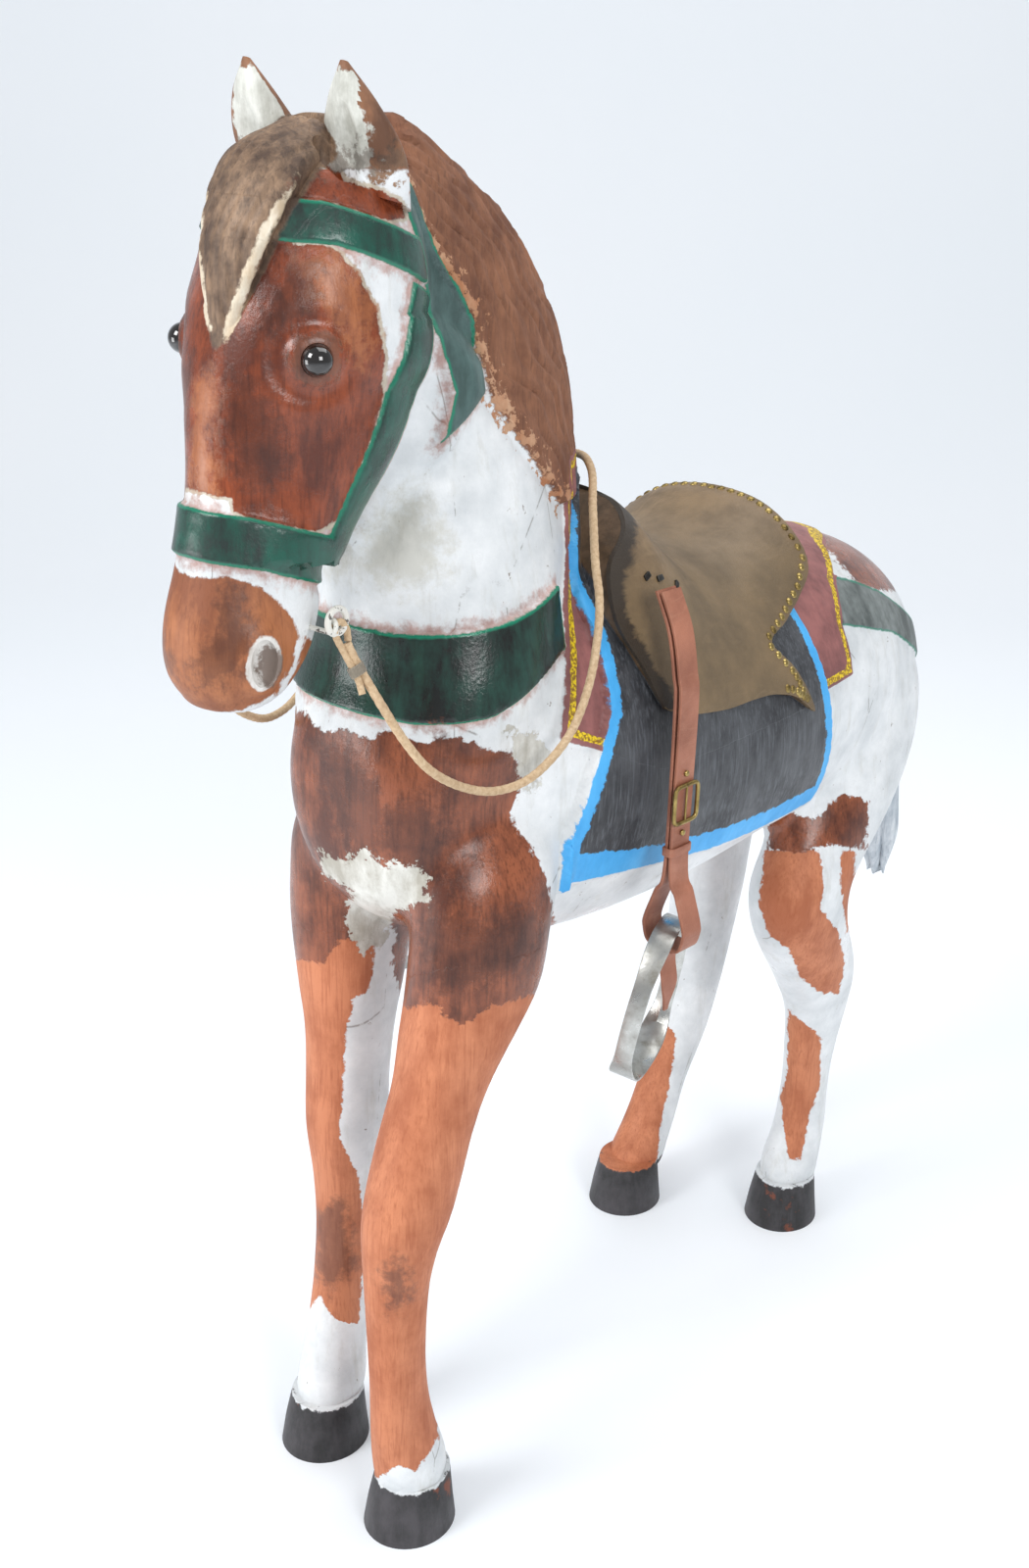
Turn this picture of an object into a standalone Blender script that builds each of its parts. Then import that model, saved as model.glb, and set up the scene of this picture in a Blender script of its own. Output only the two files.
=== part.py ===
"""Carved and painted wooden carousel horse, standing on its own four hooves."""

from math import cos, pi, radians, sin

import bmesh
import bpy
import numpy as np
from mathutils import Matrix, Vector

# Driving sizes, in metres. The horse faces -Y and its left side is at +X.
FIGURE_HEIGHT = 1.42
FIGURE_UNIT = FIGURE_HEIGHT / 1420  # the tables below count in 1420ths of the height

CARVING_GRID = 0.009
CARVING_SMOOTHING = 5
BODY_TRIANGLES = 960
RING_SIDES = 20
STIRRUP_POINTS = 24
WELD_DISTANCE = 0.00001
SHARP_ANGLE = radians(38)

HALF_SPAN = 0.3  # the side-view outlines are cut this far out from the middle
BRIDLE_RELIEF = 0.005
COLLAR_RELIEF = 0.006
MANE_RELIEF = 0.009
UNDER_BLANKET_RELIEF = 0.005
BLANKET_RELIEF = 0.012
CRUPPER_RELIEF = 0.004
FURROW_WIDTH = 5  # of the mane's furrows, in figure units
FURROW_DEPTH = 0.004
FURROW_SHARES = (0.3, 0.64)  # from the mane's lower edge to its crest
TAIL_LOCKS = 5
TAIL_LOCK_DEPTH = 0.22
FORELOCK_LOCKS = 8
FORELOCK_LOCK_DEPTH = 0.1
MOUTH_WIDTH = 5
MOUTH_DEPTH = 0.006

CLEARANCE = 0.0003
SADDLE_FLAP_RELIEF = 0.018
LEATHER_THICKNESS = 0.004
SADDLE_OVERCUT = 0.002
SADDLE_ROOM = 0.045
EYE_RADIUS = 0.0125

RING_RADIUS = 0.0105
RING_WIRE = 0.0032
STEM_SIDE = Vector((0, -0.55, -0.83))  # where round the ring the stem sits
STEM_LENGTH = 0.036

ROPE_DIAMETER = 0.008
EYE_LOOP_RADIUS = 0.0085
EYE_LOOP_WIRE = 0.0031

STRAP_WIDTH = 0.028
STRAP_THICKNESS = 0.0035
STIRRUP_HEIGHT = 0.162
STIRRUP_WIDTH = 0.118
STIRRUP_BAND = 0.030
STIRRUP_WALL = 0.005
STIRRUP_TURN = radians(16)
STIRRUP_LEAN = radians(10)
STIRRUP_TAPER = 0.2  # how much narrower the arch is at its top, wider at its tread
STIRRUP_SQUARENESS = 0.82
STRAP_TURN = radians(-4)
STRAP_SLACK = 0.0055
STRAP_SPREAD = 0.0078  # the loop stands this far off the band, which is turned inside it
STRAP_DROP = 0.0105  # and this far below the top of the arch's opening
STRAP_SPLIT = 0.085
BUCKLE_WIRE = 0.0022
BUCKLE_HEIGHT = 0.038

# Lofts of the carved figure: x, y, z, half width, half depth, tilt, taper.
TRUNK = [
    (0, -472, 796, 50, 60, 90, 0),
    (0, -455, 797, 82, 108, 90, 0),
    (0, -415, 799, 103, 145, 90, 0),
    (0, -360, 802, 121, 180, 90, 0),
    (0, -280, 790, 142, 199, 90, 0),
    (0, -180, 780, 158, 206, 90, 0),
    (0, -60, 757, 167, 188, 90, 0),
    (0, 60, 751, 170, 178, 90, 0),
    (0, 180, 753, 168, 175, 90, 0),
    (0, 290, 747, 158, 168, 90, 0),
    (0, 370, 738, 140, 154, 90, 0),
    (0, 430, 728, 116, 132, 90, 0),
    (0, 480, 714, 84, 102, 90, 0),
    (0, 512, 704, 44, 56, 90, 0),
]
NECK = [
    (0, -430, 1296, 46, 78, 75, -0.2),
    (0, -398, 1235, 58, 113, 63, -0.25),
    (0, -360, 1171, 68, 144, 49, -0.3),
    (0, -327, 1090, 80, 160, 38, -0.35),
    (0, -314, 1008, 96, 162, 31, -0.45),
    (0, -318, 930, 112, 168, 28, -0.45),
    (0, -310, 854, 118, 170, 26, -0.3),
]
HEAD = [
    (0, -462, 1360, 28, 32, 162, 0),
    (0, -480, 1337, 58, 60, 162, 0),
    (0, -492, 1284, 83, 87, 162, 0),
    (0, -505, 1219, 89, 101, 163, 0),
    (0, -530, 1154, 77, 93, 163, -0.1),
    (0, -557, 1084, 58, 72, 164, -0.1),
    (0, -575, 1029, 52, 66, 165, 0),
    (0, -591, 979, 55, 66, 166, 0),
    (0, -606, 942, 49, 50, 167, 0),
    (0, -610, 919, 28, 30, 168, 0),
]
FRONT_LEFT = [
    (70, -340, 800, 30, 50, 0, 0),
    (86, -360, 735, 55, 84, 0, 0),
    (93, -380, 664, 59, 76, 0, 0),
    (92, -388, 609, 58, 74, 0, 0),
    (90, -407, 564, 52, 64, 0, 0),
    (88, -427, 519, 45, 52, 0, 0),
    (86, -446, 473, 44, 48, 0, 0),
    (84, -460, 425, 44, 48, 0, 0),
    (82, -470, 384, 42, 47, 0, 0),
    (80, -478, 342, 36, 38, 0, 0),
    (78, -479, 284, 31, 33, 0, 0),
    (76, -474, 196, 29, 31, 0, 0),
    (76, -466, 129, 31, 37, 0, 0),
    (76, -456, 85, 36, 42, 0, 0),
    (76, -452, 50, 36, 40, 0, 0),
]
FRONT_RIGHT = [
    (-70, -330, 800, 30, 50, 0, 0),
    (-84, -345, 735, 52, 84, 0, 0),
    (-91, -354, 664, 57, 76, 0, 0),
    (-92, -358, 609, 56, 70, 0, 0),
    (-88, -365, 544, 50, 60, 0, 0),
    (-86, -370, 494, 45, 50, 0, 0),
    (-84, -376, 439, 43, 46, 0, 0),
    (-82, -380, 384, 42, 46, 0, 0),
    (-80, -384, 324, 35, 37, 0, 0),
    (-78, -388, 264, 31, 33, 0, 0),
    (-77, -396, 194, 30, 32, 0, 0),
    (-76, -405, 129, 32, 36, 0, 0),
    (-76, -412, 79, 36, 41, 0, 0),
    (-76, -418, 50, 36, 40, 0, 0),
]
HIND_LEFT = [
    (70, 350, 800, 50, 70, 0, 0),
    (88, 340, 735, 62, 100, 0, 0),
    (102, 312, 664, 62, 112, 0, 0),
    (110, 268, 600, 58, 108, 0, 0),
    (112, 232, 556, 55, 94, 0, 0),
    (112, 200, 517, 54, 82, 0, 0),
    (108, 215, 456, 50, 76, 0, 0),
    (100, 277, 368, 45, 68, 0, 0),
    (95, 303, 307, 36, 54, 0, 0),
    (92, 303, 249, 31, 43, 0, 0),
    (90, 303, 189, 30, 35, 0, 0),
    (89, 301, 130, 32, 40, 0, 0),
    (89, 284, 78, 36, 43, 0, 0),
    (89, 280, 50, 36, 41, 0, 0),
]
HIND_RIGHT = [
    (-70, 360, 800, 50, 70, 0, 0),
    (-88, 360, 735, 62, 105, 0, 0),
    (-98, 362, 654, 60, 112, 0, 0),
    (-103, 358, 570, 54, 96, 0, 0),
    (-102, 345, 484, 46, 72, 0, 0),
    (-100, 336, 404, 44, 60, 0, 0),
    (-100, 324, 332, 40, 56, 0, 0),
    (-98, 308, 264, 36, 50, 0, 0),
    (-95, 278, 201, 34, 46, 0, 0),
    (-92, 241, 144, 30, 40, 0, 0),
    (-90, 213, 95, 33, 40, 0, 0),
    (-89, 190, 64, 36, 42, 0, 0),
    (-89, 180, 45, 36, 40, 0, 0),
]
TAIL = [
    (0, 460, 800, 18, 16, 45, 0),
    (0, 528, 782, 22, 20, 35, 0),
    (0, 582, 712, 25, 26, 15, 0),
    (0, 614, 640, 26, 27, 0, 0),
    (0, 618, 560, 25, 26, 0, 0),
    (0, 620, 480, 25, 26, 0, 0),
    (0, 625, 420, 28, 28, 0, 0),
    (0, 630, 366, 26, 26, 0, 0),
]
FORELOCK = [
    (0, -492, 1362, 30, 24, 150, 0),
    (0, -547, 1339, 42, 22, 150, 0),
    (0, -582, 1292, 37, 17, 160, 0),
    (0, -600, 1243, 26, 13, 165, 0),
    (0, -607, 1206, 13, 9, 168, 0),
    (0, -606, 1176, 3, 4, 170, 0),
]
EAR = [
    (46, -478, 1312, 30, 24, 160, 0),
    (50, -491, 1352, 32, 24, 160, 0),
    (52, -505, 1386, 20, 15, 160, 0),
    (52, -515, 1414, 3, 3, 160, 0),
]
EAR_HOLLOW = [
    (48, -516, 1328, 14, 9, 160, 0),
    (51, -521, 1352, 20, 15, 160, 0),
    (53, -526, 1380, 12, 12, 160, 0),
    (53, -526, 1402, 2, 2, 160, 0),
]
NOSTRIL = [
    (50, -600, 944, 4, 4, 160, 0),
    (53, -606, 953, 11, 9, 160, 0),
    (54, -611, 969, 14, 12, 160, 0),
    (52, -615, 984, 11, 9, 160, 0),
    (51, -617, 993, 3, 3, 160, 0),
]
HOOF = [(0, 0, 62, 37, 41, 0, 0), (0, -3, 30, 42, 46, 0, 0), (0, -4, 0, 46, 50, 0, 0)]
HOOF_CENTRES = [(76, -450), (-76, -419), (89, 276), (-89, 168)]

# Side-view outlines (y, z) of what is carved proud of the body.
MANE = [
    (-500, 1338), (-461, 1327), (-428, 1275), (-375, 1212), (-358, 1154), (-328, 1110),
    (-262, 1043), (-205, 1036), (-172, 1062), (-120, 1090), (-120, 1500), (-500, 1500),
]
BROWBAND = [(-660, 1324), (-545, 1317), (-448, 1284), (-446, 1250), (-545, 1286), (-660, 1295)]
CROWNPIECE = [
    (-470, 1331), (-446, 1326), (-420, 1278), (-373, 1215), (-366, 1157), (-421, 1118),
    (-409, 1161), (-429, 1233), (-448, 1262),
]
CHEEK_STRAP = [(-474, 1256), (-432, 1240), (-512, 1040), (-546, 1056)]
NOSEBAND = [
    (-700, 1100), (-610, 1084), (-534, 1059), (-470, 1046), (-470, 1004), (-529, 1014),
    (-609, 1043), (-700, 1062),
]
COLLAR = [
    (-502, 955), (-440, 955), (-380, 962), (-290, 978), (-290, 920), (-350, 902),
    (-400, 884), (-450, 878), (-502, 885),
]
UNDER_BLANKET = [
    (-320, 845), (-300, 900), (-272, 960), (-245, 1000), (-235, 1080), (330, 1080),
    (312, 906), (262, 905), (205, 880), (176, 848), (172, 795), (60, 790), (-200, 790),
]
BLANKET = [
    (-190, 1060), (-243, 999), (-253, 977), (-255, 934), (-263, 862), (-292, 803), (-325, 695),
    (-209, 683), (-83, 667), (15, 661), (122, 658), (120, 690), (95, 850), (92, 907),
    (90, 1060),
]
CRUPPER = [
    (150, 905), (240, 882), (300, 858), (425, 790), (530, 722), (530, 690), (410, 758),
    (300, 812), (185, 845), (150, 850),
]
LEATHER = [
    (118, 1100), (124, 985), (121, 930), (88, 902), (45, 882), (4, 869), (30, 838),
    (52, 790), (20, 812), (-20, 824), (-60, 828), (-120, 832), (-198, 850), (-222, 895),
    (-240, 940), (-225, 985), (-180, 1012), (-148, 1030), (-145, 1100),
]
# The mane's lower edge and its crest, between which its furrows run, and the mouth line.
MANE_EDGE = [(-461, 1322), (-430, 1275), (-370, 1208), (-352, 1154), (-324, 1108), (-258, 1046)]
MANE_CREST = [(-420, 1372), (-378, 1348), (-318, 1310), (-234, 1239), (-178, 1155), (-160, 1075)]
MOUTH = [(-505, 1000), (-524, 991), (-540, 958), (-567, 930), (-610, 914)]
# Height of the seat over the back, front to rear: y, rise at the middle.
SEAT_RISE = [
    (-260, 40), (-200, 58), (-150, 56), (-100, 32), (-50, 16), (0, 17), (50, 32),
    (100, 53), (130, 58), (170, 50),
]

# The tube that the saddle's shape is cut from, and where round it the seat turns into flaps.
SADDLE_START = -265
SADDLE_END = 170
SADDLE_STEP = 30
SADDLE_SIDES = 24
SEAT_HALF_ANGLE = 12
SEAT_BLEND_ANGLE = 50
FLAP_HALF_ANGLE = 110
UNDER_TRUNK_INSET = 20

EYE_PLACE = (75, -570, 1204)
BIT_PLACE = (70, -546, 993)
STRAP_PLACE = (190, -203)
STRAP_TOP = 968
# The strap's top leans in over the flap: outwards, up from the strap's top.
STRAP_LEAN = [(-30, 0), (-13, -35), (-4, -75), (0, -110)]
STIRRUP_TOP = 632
BUCKLE_LEVEL = 765
# Route of the rein, from the left bit ring to the withers.
REIN_TOP = (-146, 1064)
REIN_LEFT = [
    (72, -537, 973), (80, -532, 954), (97, -524, 924), (112, -510, 890), (122, -488, 860),
    (130, -452, 836), (140, -417, 826), (149, -379, 832), (156, -340, 860), (156, -314, 899),
    (150, -295, 940), (140, -281, 971), (125, -269, 1000), (98, -239, 1038), (56, -188, 1064),
]


def clear_scene():
    for old in list(bpy.data.objects):
        bpy.data.objects.remove(old, do_unlink=True)
    for old in list(bpy.data.meshes):
        bpy.data.meshes.remove(old)


def figure(*place):
    return Vector(place) * FIGURE_UNIT


def object_of(name, mesh):
    data = bpy.data.meshes.new(name)
    mesh.to_mesh(data)
    mesh.free()
    made = bpy.data.objects.new(name, data)
    bpy.context.scene.collection.objects.link(made)
    return made


def catmull_rom(rows, steps):
    """Rows of numbers, with a number of steps on a smooth curve between each two of them."""
    rows = np.array(rows, float)
    ends = np.vstack([2 * rows[0] - rows[1], rows, 2 * rows[-1] - rows[-2]])
    found = []
    for i in range(len(rows) - 1):
        a, b, c, d = ends[i : i + 4]
        for t in np.arange(steps) / steps:
            bend = 2 * a - 5 * b + 4 * c - d
            twist = 3 * b - a - 3 * c + d
            found.append(0.5 * (2 * b + (c - a) * t + bend * t**2 + twist * t**3))
    found.append(rows[-1])
    return np.array(found)


def skinned(name, rings):
    """Closed solid through rings of points that all run the same way round."""
    mesh = bmesh.new()
    made = [[mesh.verts.new(point) for point in ring] for ring in rings]
    sides = len(made[0])
    for low, high in zip(made, made[1:]):
        for k in range(sides):
            n = (k + 1) % sides
            mesh.faces.new((low[k], low[n], high[n]))
            mesh.faces.new((low[k], high[n], high[k]))
    mesh.faces.new(list(reversed(made[0])))
    mesh.faces.new(made[-1])
    bmesh.ops.recalc_face_normals(mesh, faces=mesh.faces)
    return object_of(name, mesh)


def loft(name, stations, steps=3, sides=RING_SIDES, offset=(0, 0, 0), locks=0, lock_depth=0.0):
    """A station is the ring's centre, half width along X, half depth in the YZ plane at tilt
    degrees from +Y, and a taper that widens the ring towards the far end of its depth. Locks
    of hair are lobes round the ring, with furrows of a share of its depth between them."""
    rings = []
    for x, y, z, half_width, half_depth, tilt, taper in catmull_rom(stations, steps):
        ring = []
        for k in range(sides):
            angle = 2 * pi * k / sides
            lobe = 1 - lock_depth * (1 - abs(sin(locks * angle / 2)))
            wide = half_width * lobe * cos(angle) * (1 + taper * sin(angle))
            far = half_depth * lobe * sin(angle)
            place = (x + wide, y + far * cos(radians(tilt)), z + far * sin(radians(tilt)))
            ring.append(figure(*place) + figure(*offset))
        rings.append(ring)
    return skinned(name, rings)


def mirrored(stations):
    return [(-x, *rest) for x, *rest in stations]


def prism(name, outline, margin=0.0):
    """Side-view outline run through the figure along X."""
    mesh = bmesh.new()
    near = [mesh.verts.new((-HALF_SPAN, *(figure(0, y, z).yz))) for y, z in outline]
    far = [mesh.verts.new((HALF_SPAN, *(figure(0, y, z).yz))) for y, z in outline]
    count = len(outline)
    for k in range(count):
        n = (k + 1) % count
        mesh.faces.new((near[k], near[n], far[n], far[k]))
    mesh.faces.new(list(reversed(near)))
    mesh.faces.new(far)
    bmesh.ops.recalc_face_normals(mesh, faces=mesh.faces)
    if margin:
        grown = outline_grown([v.co.yz for v in near], margin)
        for vert, place in zip(near + far, grown + grown):
            vert.co.yz = place
    return object_of(name, mesh)


def outline_grown(points, margin):
    """The outline with each corner moved out by the margin."""
    count = len(points)
    area = sum(points[k - 1].x * points[k].y - points[k].x * points[k - 1].y for k in range(count))
    turn = 1 if area > 0 else -1
    found = []
    for k in range(count):
        before = (points[k] - points[k - 1]).normalized()
        after = (points[(k + 1) % count] - points[k]).normalized()
        first = Vector((before.y, -before.x)) * turn
        second = Vector((after.y, -after.x)) * turn
        out = (first + second).normalized()
        found.append(points[k] + out * margin / max(out.dot(first), 0.4))
    return found


def baked(thing):
    """Puts the evaluated mesh in place of the object's modifiers."""
    graph = bpy.context.evaluated_depsgraph_get()
    mesh = bpy.data.meshes.new_from_object(thing.evaluated_get(graph))
    thing.modifiers.clear()
    old = thing.data
    thing.data = mesh
    bpy.data.meshes.remove(old)
    return thing


def combine(thing, other, operation):
    """The outlines' slabs share many faces that nearly coincide, where EXACT drops pieces."""
    step = thing.modifiers.new(operation.lower(), "BOOLEAN")
    step.operation = operation
    step.solver = "MANIFOLD"
    step.object = other
    baked(thing)
    bpy.data.objects.remove(other, do_unlink=True)
    return thing


def copy_of(thing, name):
    made = bpy.data.objects.new(name, thing.data.copy())
    bpy.context.scene.collection.objects.link(made)
    return made


def swollen(thing, name, thickness):
    """Copy of a solid with its surface moved out."""
    made = copy_of(thing, name)
    normals = [vertex.normal.copy() for vertex in made.data.vertices]
    for vertex, normal in zip(made.data.vertices, normals):
        vertex.co += normal * thickness
    return made


def carved_body():
    """Everything that is rounded off together: trunk, neck, head and legs."""
    body = loft("horse", TRUNK)
    shapes = [NECK, HEAD, FRONT_LEFT, FRONT_RIGHT, HIND_LEFT, HIND_RIGHT]
    for stations in shapes:
        combine(body, loft("part", stations), "UNION")
    rounded = body.modifiers.new("grid", "REMESH")
    rounded.mode = "VOXEL"
    rounded.voxel_size = CARVING_GRID
    soft = body.modifiers.new("soft", "SMOOTH")
    soft.factor = 0.5
    soft.iterations = CARVING_SMOOTHING
    baked(body)
    return thinned(body, BODY_TRIANGLES)


def thinned(thing, most_triangles):
    count = sum(len(face.vertices) - 2 for face in thing.data.polygons)
    fewer = thing.modifiers.new("fewer", "DECIMATE")
    fewer.ratio = min(1, most_triangles / count)
    return baked(thing)


def add_relief(horse, body, outline, thickness):
    slab = swollen(body, "slab", thickness)
    combine(slab, prism("outline", outline), "INTERSECT")
    combine(horse, slab, "UNION")


def strip(line, width):
    """Outline of a narrow strip along a line in the side view."""
    points = [Vector(place) for place in line]
    near, far = [], []
    for k, point in enumerate(points):
        along = points[min(k + 1, len(points) - 1)] - points[max(k - 1, 0)]
        aside = Vector((along.y, -along.x)).normalized() * width / 2
        near.append(tuple(point + aside))
        far.append(tuple(point - aside))
    return near + far[::-1]


def cut_line(horse, body, line, width, top, depth):
    """Furrow along a line in the side view, from a height over the body down by a depth."""
    cutter = swollen(body, "cutter", top + CLEARANCE)
    combine(cutter, swollen(body, "floor", top - depth), "DIFFERENCE")
    combine(cutter, prism("outline", strip(line, width)), "INTERSECT")
    combine(horse, cutter, "DIFFERENCE")


def cut_furrows(horse, body):
    """The locks of the mane, and the line of the mouth."""
    for share in FURROW_SHARES:
        line = [
            (low_y + (high_y - low_y) * share, low_z + (high_z - low_z) * share)
            for (low_y, low_z), (high_y, high_z) in zip(MANE_EDGE, MANE_CREST)
        ]
        cut_line(horse, body, line, FURROW_WIDTH, MANE_RELIEF, FURROW_DEPTH)
    cut_line(horse, body, MOUTH, MOUTH_WIDTH, CLEARANCE, MOUTH_DEPTH)


def saddle_form(name, extra):
    """Closed tube round the trunk whose top is the saddle's surface, moved out by extra metres."""
    lift = extra / FIGURE_UNIT
    flap = SADDLE_FLAP_RELIEF / FIGURE_UNIT
    table = catmull_rom(TRUNK, 4)
    rise = np.array(SEAT_RISE, float)
    rings = []
    for y in np.arange(SADDLE_START, SADDLE_END, SADDLE_STEP):
        centre, half_width, half_depth = (
            np.interp(y, table[:, 1], table[:, column]) for column in (2, 3, 4)
        )
        top = np.interp(y, rise[:, 0], rise[:, 1])
        ring = []
        for angle in np.arange(-180, 180, 360 / SADDLE_SIDES):
            away = np.clip((abs(angle) - SEAT_HALF_ANGLE) / SEAT_BLEND_ANGLE, 0, 1)
            side = away * away * (3 - 2 * away)
            out = top * (1 - side) + flap * side + lift
            if abs(angle) > FLAP_HALF_ANGLE:
                out = -UNDER_TRUNK_INSET
            across = (half_width + out) * sin(radians(angle))
            up = (half_depth + out) * cos(radians(angle))
            ring.append(figure(across, y, centre + up))
        rings.append(ring)
    return skinned(name, rings)


def make_saddle(horse):
    """Carved saddle under its leather, and the leather cover."""
    core = combine(saddle_form("core", SADDLE_OVERCUT), prism("outline", LEATHER), "INTERSECT")
    combine(horse, core, "UNION")
    room = combine(saddle_form("room", SADDLE_ROOM), saddle_form("floor", 0), "DIFFERENCE")
    combine(room, prism("outline", LEATHER, margin=CLEARANCE), "INTERSECT")
    combine(horse, room, "DIFFERENCE")
    leather = combine(
        saddle_form("saddle_leather", CLEARANCE + LEATHER_THICKNESS),
        saddle_form("inside", CLEARANCE),
        "DIFFERENCE",
    )
    combine(leather, prism("outline", LEATHER), "INTERSECT")
    return leather


def make_horse():
    body = carved_body()
    horse = copy_of(body, "horse_carved")
    add_relief(horse, body, MANE, MANE_RELIEF)
    for outline in (BROWBAND, CROWNPIECE, CHEEK_STRAP, NOSEBAND):
        add_relief(horse, body, outline, BRIDLE_RELIEF)
    add_relief(horse, body, COLLAR, COLLAR_RELIEF)
    add_relief(horse, body, CRUPPER, CRUPPER_RELIEF)
    add_relief(horse, body, UNDER_BLANKET, UNDER_BLANKET_RELIEF)
    add_relief(horse, body, BLANKET, BLANKET_RELIEF)
    cut_furrows(horse, body)
    bpy.data.objects.remove(body, do_unlink=True)
    for stations in (EAR, mirrored(EAR)):
        combine(horse, loft("part", stations, steps=2, sides=12), "UNION")
    forelock = loft(
        "part", FORELOCK, steps=2, sides=16, locks=FORELOCK_LOCKS, lock_depth=FORELOCK_LOCK_DEPTH
    )
    combine(horse, forelock, "UNION")
    tail = loft("part", TAIL, steps=2, sides=15, locks=TAIL_LOCKS, lock_depth=TAIL_LOCK_DEPTH)
    combine(horse, tail, "UNION")
    for x, y in HOOF_CENTRES:
        combine(horse, loft("hoof", HOOF, steps=1, sides=16, offset=(x, y, 0)), "UNION")
    for stations in (EAR_HOLLOW, mirrored(EAR_HOLLOW), NOSTRIL, mirrored(NOSTRIL)):
        combine(horse, loft("hollow", stations, steps=2, sides=10), "DIFFERENCE")
    horse.name = "horse"
    return horse


def make_eyes(horse):
    """Glass eyes in sockets cut to fit them."""
    for name, side in (("eye_left", 1), ("eye_right", -1)):
        x, y, z = EYE_PLACE
        place = figure(side * x, y, z)
        for what, radius in (("socket", EYE_RADIUS + CLEARANCE), (name, EYE_RADIUS)):
            bpy.ops.mesh.primitive_uv_sphere_add(segments=12, ring_count=7, radius=radius, location=place)
            ball = bpy.context.object
            ball.name = what
            ball.data.name = what
            if what == "socket":
                combine(horse, ball, "DIFFERENCE")


def make_bit_rings(horse):
    """Ring and stem in one, the stem let into the corner of the mouth."""
    for name, side in (("bit_ring_left", 1), ("bit_ring_right", -1)):
        x, y, z = BIT_PLACE
        place = figure(side * x, y, z)
        rim = place + STEM_SIDE * RING_RADIUS
        for what, gap in (("hole", CLEARANCE), (name, 0)):
            bpy.ops.mesh.primitive_cylinder_add(
                vertices=8, radius=RING_WIRE * 0.8 + gap, depth=STEM_LENGTH,
                location=rim - Vector((side * (STEM_LENGTH / 2 - 0.002), 0, 0)), rotation=(0, pi / 2, 0),
            )
            stem = placed(bpy.context.object, what)
            if what == "hole":
                combine(horse, stem, "DIFFERENCE")
        bpy.ops.mesh.primitive_torus_add(
            major_radius=RING_RADIUS, minor_radius=RING_WIRE, major_segments=14, minor_segments=6,
            location=place, rotation=(0, pi / 2, 0),
        )
        combine(stem, placed(bpy.context.object, "ring"), "UNION")


def placed(thing, name):
    """Takes the object's place into its mesh."""
    thing.name = name
    thing.data.transform(thing.matrix_basis)
    thing.matrix_basis = Matrix()
    return thing


def tube(name, points, diameter, cyclic=False):
    curve = bpy.data.curves.new(name, "CURVE")
    curve.dimensions = "3D"
    curve.bevel_depth = diameter / 2
    curve.bevel_resolution = 1
    curve.use_fill_caps = True
    line = curve.splines.new("POLY")
    line.points.add(len(points) - 1)
    line.use_cyclic_u = cyclic
    for point, place in zip(line.points, points):
        point.co = (*place, 1)
    made = bpy.data.objects.new(name, curve)
    bpy.context.scene.collection.objects.link(made)
    return made


def rein_route():
    """Points of the whole rein: left half, over the withers, right half."""
    middle = [(0, REIN_TOP[0], REIN_TOP[1])]
    return REIN_LEFT + middle + list(reversed(mirrored(REIN_LEFT)))


def make_rein():
    """The rope, and at each end the eye that it makes through the bit ring."""
    points = [figure(*place) for place in catmull_rom(rein_route(), 2)]
    tube("rein", points, ROPE_DIAMETER)
    for name, side in (("rein_eye_left", 1), ("rein_eye_right", -1)):
        ring = figure(side * BIT_PLACE[0], *BIT_PLACE[1:])
        first = points[0] if side > 0 else points[-1]
        away = Vector((0, first.y - ring.y, first.z - ring.z)).normalized()
        centre = ring + away * (EYE_LOOP_RADIUS + 0.001)
        across = Vector((side, 0, 0))
        turn = Matrix((away, across, away.cross(across))).transposed()
        bpy.ops.mesh.primitive_torus_add(
            major_radius=EYE_LOOP_RADIUS, minor_radius=EYE_LOOP_WIRE, major_segments=12,
            minor_segments=6,
        )
        loop = placed(bpy.context.object, name)
        loop.data.transform(Matrix.Translation(centre) @ turn.to_4x4())


def extruded(name, outlines, width):
    """Flat outlines in the XY plane, holes included, given a width along Z."""
    curve = bpy.data.curves.new(name, "CURVE")
    curve.dimensions = "2D"
    curve.fill_mode = "BOTH"
    curve.extrude = width / 2
    for outline in outlines:
        line = curve.splines.new("POLY")
        line.points.add(len(outline) - 1)
        line.use_cyclic_u = True
        for point, place in zip(line.points, outline):
            point.co = (*place, 0, 1)
    made = bpy.data.objects.new(name, curve)
    bpy.context.scene.collection.objects.link(made)
    return meshed(made)


def meshed(curve):
    """Mesh object in place of a curve, its loose caps welded on."""
    name = curve.name
    graph = bpy.context.evaluated_depsgraph_get()
    mesh = bpy.data.meshes.new_from_object(curve.evaluated_get(graph))
    bpy.data.objects.remove(curve, do_unlink=True)
    welded = bmesh.new()
    welded.from_mesh(mesh)
    bmesh.ops.remove_doubles(welded, verts=welded.verts, dist=WELD_DISTANCE)
    bpy.data.meshes.remove(mesh)
    return object_of(name, welded)


def hanging(thing, side, level, turn):
    """Stands a flat outline up beside the horse: its X outwards, its Y up from the level."""
    out = Vector((cos(turn), sin(turn), 0))
    along = Vector((out.y, -out.x, 0))
    frame = Matrix((out, Vector((0, 0, 1)), along)).transposed().to_4x4()
    frame.translation = figure(*STRAP_PLACE, level)
    if side < 0:
        frame = Matrix.Scale(-1, 4, (1, 0, 0)) @ frame
    thing.data.transform(frame)
    if side < 0:
        thing.data.flip_normals()
    return thing


def signed_power(value, power):
    return np.sign(value) * abs(value) ** power


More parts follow.
